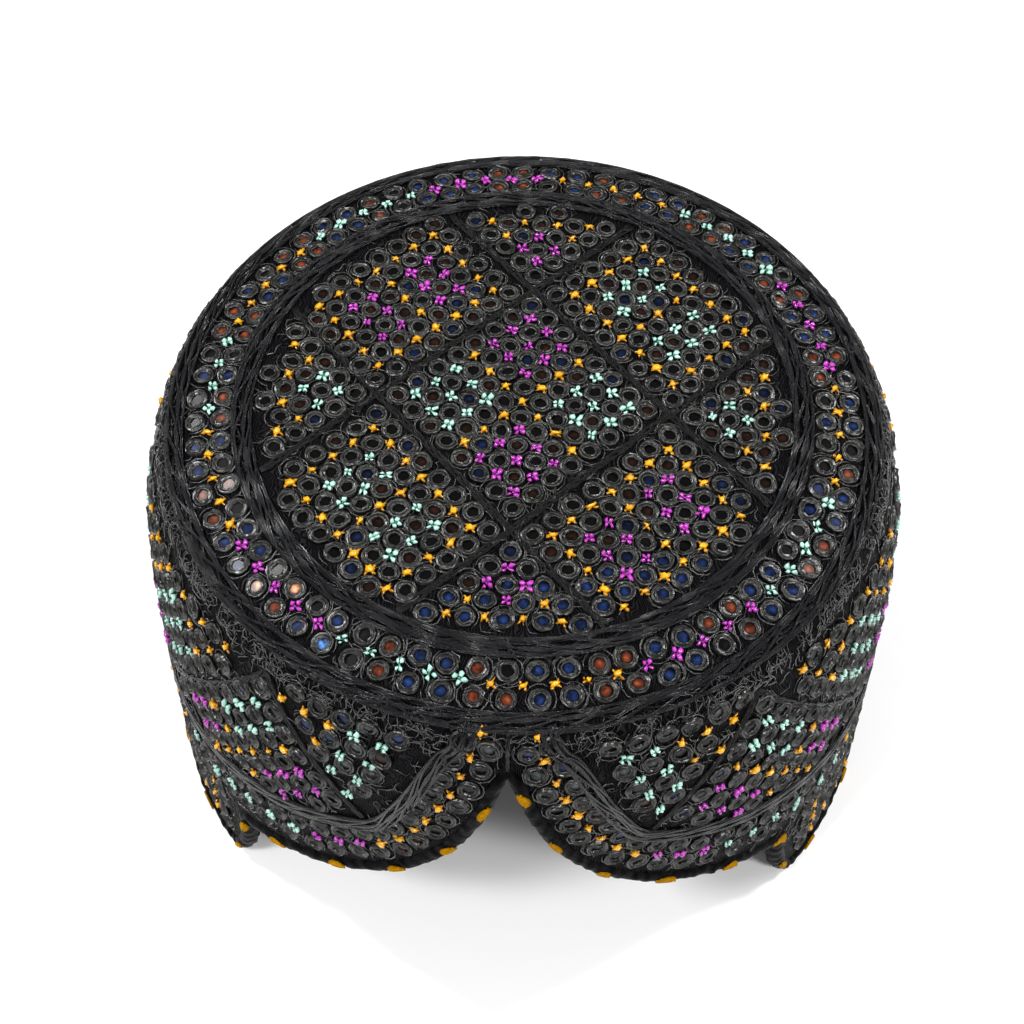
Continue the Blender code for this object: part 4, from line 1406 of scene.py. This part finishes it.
class CAP_OT_stage(bpy.types.Operator):
    """Set the pale floor, the soft studio lights and the camera at the photo's viewing angle."""

    bl_idname = "cap.stage"
    bl_label = "Stage"

    def execute(self, context):
        scene = context.scene
        scene.view_settings.view_transform = "Standard"
        mesh = bpy.data.meshes.new("floor")
        mesh.from_pydata([(-3, -3, 0), (3, -3, 0), (3, 3, 0), (-3, 3, 0)], [], [(0, 1, 2, 3)])
        floor = bpy.data.objects.new("floor", mesh)
        scene.collection.objects.link(floor)
        material, tree, shader, place = new_material("pale_floor")
        cloud = noise(tree, place.outputs["Object"], 2.0)
        tree.links.new(ramp(tree, cloud, ((0.3, (0.90, 0.90, 0.90)), (0.7, (0.93, 0.93, 0.93)))),
                       shader.inputs["Base Color"])
        shader.inputs["Roughness"].default_value = 0.9
        shader.inputs["Specular IOR Level"].default_value = 0.1
        mesh.materials.append(material)
        world = bpy.data.worlds.new("studio")
        world.use_nodes = True
        world.node_tree.nodes["Background"].inputs["Color"].default_value = (1.0, 1.0, 1.0, 1.0)
        world.node_tree.nodes["Background"].inputs["Strength"].default_value = WORLD_STRENGTH
        scene.world = world
        for number, (azimuth, rise, power) in enumerate(LAMPS):
            a, b = math.radians(azimuth), math.radians(rise)
            place = Vector((math.cos(b) * math.sin(a), -math.cos(b) * math.cos(a), math.sin(b))) * LAMP_REACH
            self.light("light_%d" % number, place, power)
        self.camera(scene)
        return {"FINISHED"}

    def light(self, name, place, power):
        """A square soft light that faces the cap."""
        data = bpy.data.lights.new(name, "AREA")
        data.size = LAMP_SIZE
        data.energy = power
        lamp = bpy.data.objects.new(name, data)
        lamp.location = place
        lamp.rotation_euler = (Vector((0, 0, LAMP_AIM)) - place).to_track_quat("-Z", "Y").to_euler()
        bpy.context.scene.collection.objects.link(lamp)

    def camera(self, scene):
        """The camera stands in front of and above the crown's middle, and looks down at the cap."""
        rise = math.radians(CAMERA_RISE)
        pitch, yaw, roll = math.radians(CAMERA_PITCH), math.radians(CAMERA_YAW), math.radians(CAMERA_ROLL)
        ahead = Vector((math.sin(yaw) * math.cos(pitch), math.cos(yaw) * math.cos(pitch), -math.sin(pitch)))
        right = Vector((math.cos(yaw), -math.sin(yaw), 0.0))
        above = right.cross(ahead)
        side = right * math.cos(roll) + above * math.sin(roll)
        above = above * math.cos(roll) - right * math.sin(roll)
        place = Vector((0.0, -math.cos(rise), math.sin(rise))) * CAMERA_REACH
        spin = Matrix.Rotation(math.radians(CAMERA_SPIN), 3, "Z")
        axes = spin @ Matrix((side, above, -ahead)).transposed()
        data = bpy.data.cameras.new("camera")
        data.sensor_width = 36.0
        data.lens = CAMERA_LENS
        data.clip_start = 0.01
        camera = bpy.data.objects.new("camera", data)
        matrix = axes.to_4x4()
        matrix.translation = spin @ place + Vector((0.0, AXIS_Y, HEIGHT + float(crown_rise(BORDER_RADIUS))))
        camera.matrix_world = matrix
        scene.collection.objects.link(camera)
        scene.camera = camera


class CAP_PT_panel(bpy.types.Panel):
    """Buttons for each group of pieces, and the sizes and colours they use."""

    bl_idname = "CAP_PT_panel"
    bl_label = "Sindhi Cap"
    bl_space_type = "VIEW_3D"
    bl_region_type = "UI"
    bl_category = "Cap"

    def draw(self, context):
        layout = self.layout
        for operator in OPERATORS:
            layout.operator(operator.bl_idname)
        for group in (context.scene.cap_sizes, context.scene.cap_colours):
            box = layout.box()
            for name in group.bl_rna.properties.keys():
                if name not in ("rna_type", "name"):
                    box.prop(group, name)


OPERATORS = (CAP_OT_stage, CAP_OT_cloth, CAP_OT_hem, CAP_OT_braids, CAP_OT_bands, CAP_OT_rings,
             CAP_OT_stitches, CAP_OT_threads)
CLASSES = (CapSizes, CapColours, *OPERATORS, CAP_PT_panel)


def register():
    """Register the classes and attach the sizes and colours to the scene."""
    for cls in CLASSES:
        bpy.utils.register_class(cls)
    bpy.types.Scene.cap_sizes = PointerProperty(type=CapSizes)
    bpy.types.Scene.cap_colours = PointerProperty(type=CapColours)


def unregister():
    """Take the settings and the classes away again."""
    del bpy.types.Scene.cap_colours
    del bpy.types.Scene.cap_sizes
    for cls in reversed(CLASSES):
        bpy.utils.unregister_class(cls)


def main():
    """Make the stage and every piece."""
    register()
    bpy.ops.cap.stage()
    bpy.ops.cap.cloth()
    bpy.ops.cap.hem()
    bpy.ops.cap.braids()
    bpy.ops.cap.bands()
    bpy.ops.cap.rings()
    bpy.ops.cap.stitches()
    bpy.ops.cap.threads()


if __name__ == "__main__":
    main()
